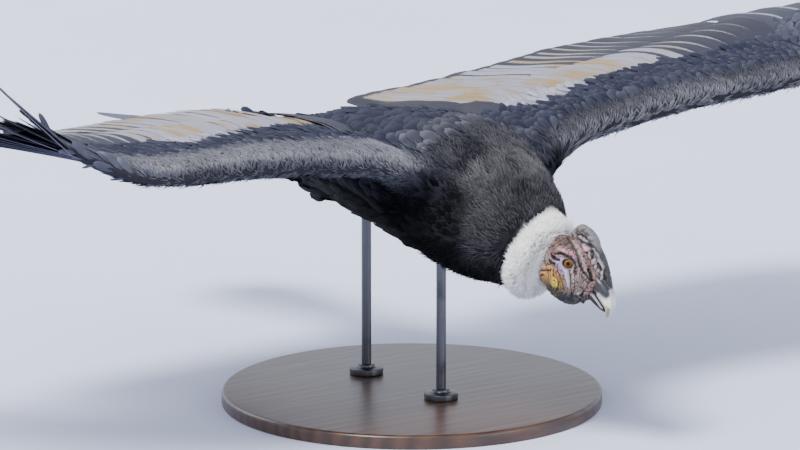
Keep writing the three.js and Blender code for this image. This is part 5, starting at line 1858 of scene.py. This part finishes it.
def make_leg(label, side, skin):
    """A scaled shank and foot in one, with broad plates across the top of the shank and toes."""
    leg = fused(f"leg_{label}", leg_shapes(side), 1.0, passes=3)
    points, normals = surface_of(leg)
    ridge = np.abs(np.sin(math.pi * (points[:, 1] / MM + 0.8 * lumps(points, 9, 91)) / 4.6))
    upper = smooth(normals[:, 2], 0.15, 0.6)
    plates = mix(0.6, np.clip(ridge * 1.8, 0, 1), upper)
    pads = smooth(normals[:, 2], -0.3, -0.7) * np.clip(lumps(points, 3.4, 92), -1, 1)
    relief = 0.55 * upper * (plates - 0.6) + 0.4 * pads
    raise_surface(leg, points, normals, relief)
    store(leg.data, "plates", plates)
    leg.data.materials.append(skin)
    return leg


def make_claw(name, line, tip, horn):
    """A hooked claw at a toe's end."""
    end, along = line[-1], unit(line[-1] - line[-2])
    onwards = end + along * 7 * MM
    bend = mix(onwards, tip, 0.6) + np.array([0, 1.2, 1.0]) * MM
    claw = tube(
        name, (end - along * 3 * MM, end, onwards, bend, tip), [3.2, 3.6, 3.2, 1.9, 0.35],
        20, 30, flat_way=(1, 0, 0), flatness=0.78,
    )
    claw.data.materials.append(horn)
    return claw


def make_legs():
    """Shanks and feet, tucked back under the tail, with their claws."""
    skin, horn = make_leg_finish(), make_claw_finish()
    made = []
    for label, side in SIDES:
        made.append((make_leg(label, side, skin), "leg_skin", f"shank_{label}", f"foot_{label}"))
        for i, (line, _, tip) in enumerate(leg_lines(side)[2], 1):
            claw = make_claw(f"hooked_claw_{label}_{i}", line, tip, horn)
            made.append((claw, "claw_horn", f"claw_{label}_{i}"))
    return made


dressed += make_legs()


# Stand
# The plate and collars are told by their heights; meshes that touch keep the solids' gap.
PLATE_HEIGHT, COLLAR_HEIGHT, SOLID_GAP = 20, 14, 0.3
RODS = (("front", 70), ("rear", -110))


def turned(name, profile, forward, height, count):
    """A solid turned on the lathe round an upright axis, from (radius, height) in millimetres."""
    profile = np.asarray(profile, float)
    angle = full_turn(count)
    r, z = profile[:, 0, None], profile[:, 1, None]
    rings = np.stack([r * np.cos(angle), -forward + r * np.sin(angle), height + z + 0 * angle], -1) * MM
    made = loft(name, rings)
    sharp = made.data.attributes.new("sharp_edge", "BOOLEAN", "EDGE")
    rows = gathered(made.data.edges, "vertices", 2, int) // count
    kept = np.zeros(len(profile) + 1, bool)
    for i in range(1, len(profile) - 1):
        a, b = profile[i] - profile[i - 1], profile[i + 1] - profile[i]
        kept[i] = a @ b < 0.8 * np.linalg.norm(a) * np.linalg.norm(b)
    kept[[0, len(profile) - 1]] = True
    sharp.data.foreach_set("value", (rows[:, 0] == rows[:, 1]) & kept[np.minimum(rows[:, 0], len(profile))])
    return made


def rounded(corner, radius, first, last, count=7):
    """Places round a corner, from one angle to another in degrees."""
    angle = np.radians(np.linspace(first, last, count))
    return [(corner[0] + radius * math.cos(a), corner[1] + radius * math.sin(a)) for a in angle]


def make_wood_finish():
    """Dark varnished wood: long grain across the round plate and fine pores."""
    made, tree, shader = finish("dark_wood", rough=0.36, specular=0.5, Coat_Weight=0.25, Coat_Roughness=0.25)
    stretched = {"Vector": object_place(tree), "Scale": (1.0, 9.0, 9.0)}
    wander = add(tree, "ShaderNodeMapping", stretched).outputs[0]
    rings = add(tree, "ShaderNodeTexWave", {
        "Vector": wander, "Scale": 1.6, "Distortion": 6.0, "Detail": 3.0, "Detail Scale": 1.4,
    }, bands_direction="Y").outputs["Fac"]
    grain = noise(tree, 60, 5, 0.65, (0.12, 2.4, 2.4))
    pores = ease(tree, noise(tree, 260, 2, 0.5, (0.06, 3.0, 3.0)), 0.60, 0.72)
    base = blend(tree, rings, "3b2619", "563a27")
    base = blend(tree, product(tree, grain, 0.7), base, "2c1b12")
    base = blend(tree, product(tree, pores, 0.6), base, "1b110b")
    feed(tree, shader, base, ramp(tree, grain, 0.2, 0.26))
    bump(tree, shader, ramp(tree, pores, -0.7, grain), 0.12, 0.0006)
    return made


def make_metal_finish():
    """Dark satin metal, brushed along the rods."""
    made, tree, shader = finish("dark_metal", rough=0.34, Metallic=0.9)
    brushed = noise(tree, 700, 3, 0.6, (1, 1, 0.04))
    base = blend(tree, brushed, "47474b", "626267")
    base = blend(tree, ease(tree, noise(tree, 25, 4), 0.5, 0.75), base, "3a3a3e")
    feed(tree, shader, base, ramp(tree, brushed, 0.22, 0.24))
    bump(tree, shader, brushed, 0.06, 0.0002)
    return made


def make_stand():
    """The round plate, and a collar and rod at front and rear, the rods ending inside the coat."""
    wood, metal = make_wood_finish(), make_metal_finish()
    plate = [(0.5, 0), (264, 0), *rounded((267.5, 2.5), 2.5, -90, 0, 5), *rounded((265, 15), 5, 0, 90, 9)]
    plate.append((0.5, PLATE_HEIGHT))
    made = [(turned("round_plate", plate, 0, 0, 144), "stand_board", "stand_plate")]
    collar = [
        (0.5, 0), (22.8, 0), *rounded((22.8, 1.2), 1.2, -60, 0, 4), *rounded((22.5, 7.5), 1.5, 0, 80, 5),
        *rounded((16.5, 13.5), 4.5, 260, 190, 6), (12, 12.6), *rounded((11, 13), 1, 10, 90, 4),
        (0.5, COLLAR_HEIGHT),
    ]
    collar_foot = PLATE_HEIGHT + SOLID_GAP
    rod_foot = collar_foot + COLLAR_HEIGHT + SOLID_GAP
    for label, forward in RODS:
        ring = turned(f"collar_{label}", collar, forward, collar_foot, 72)
        made.append((ring, "stand_metal", f"stand_collar_{label}"))
        top = SHOULDER_HEIGHT + torso_axis_up(forward) - torso_belly(forward) + 9 - rod_foot
        wall = [(7, z) for z in np.linspace(6, top - 1, 12)]
        rod = [(0.5, 0), (6.6, 0), (7, 0.4), *wall, (6.4, top), (0.5, top)]
        rod = turned(f"rod_{label}", rod, forward, rod_foot, 40)
        made.append((rod, "stand_metal", f"stand_rod_{label}"))
    for piece, slot, _ in made:
        piece.data.materials.append(wood if slot == "stand_board" else metal)
    return made


dressed += make_stand()


# Room, lights and camera
def make_room():
    """A pale floor, soft light from above and the left, and a pale sky all round."""
    corners = [(60 * x, 60 * y, 0) for x, y in ((-1, -1), (1, -1), (1, 1), (-1, 1))]
    floor = mesh_of("floor", corners, [(0, 1, 2, 3)], False)
    made, tree, shader = finish("pale_floor", rough=0.9, specular=0.2)
    base = blend(tree, noise(tree, 3), "ccd2e8", "d4daee")
    feed(tree, shader, base)
    floor.data.materials.append(made)
    world = bpy.data.worlds.new("pale_room")
    world.use_nodes = True
    sky = world.node_tree.nodes["Background"].inputs
    sky["Color"].default_value, sky["Strength"].default_value = (0.82, 0.87, 1.0, 1), 1.25
    bpy.context.scene.world = world
    sun = bpy.data.lights.new("high_light", "SUN")
    sun.energy, sun.angle = 4.9, 0.3
    high = new_object("high_light", sun)
    high.rotation_euler = Vector((-0.58, -0.14, 0.80)).to_track_quat("Z", "Y").to_euler()
    for name, place in (("fill", (1.2, -4.2, 0.9)), ("rim", (-1.0, 3.6, 2.6))):
        light = bpy.data.lights.new(name, "AREA")
        light.size, light.energy = 2.5, 60
        lamp = new_object(name, light)
        lamp.location = place
        lamp.rotation_euler = (Vector((0, 0, 0.35)) - Vector(place)).to_track_quat("-Z", "Y").to_euler()


CAMERA_DISTANCE = 14


def make_camera():
    """The photograph's view, from in front, to the bird's right and a little above."""
    back = Vector((-0.572, -0.787, 0.230)).normalized()
    right = Vector((0.809, -0.588, 0.0)).normalized()
    up = back.cross(right)
    target = Vector((0, 0, SHOULDER_HEIGHT * MM)) - right * 0.0169 - up * 0.0846
    seen = bpy.data.cameras.new("camera")
    seen.lens, seen.sensor_width, seen.clip_end = 446.7, 36.0, 200.0
    camera = new_object("camera", seen)
    pose = Matrix((right, up, back)).transposed().to_4x4()
    pose.translation = target + back * CAMERA_DISTANCE
    camera.matrix_world = pose
    bpy.context.scene.camera = camera


make_room()
make_camera()

# What each piece rides on and stands for
for piece, slot, *nodes in dressed:
    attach(piece, "root")
    if nodes:
        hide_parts(*nodes)
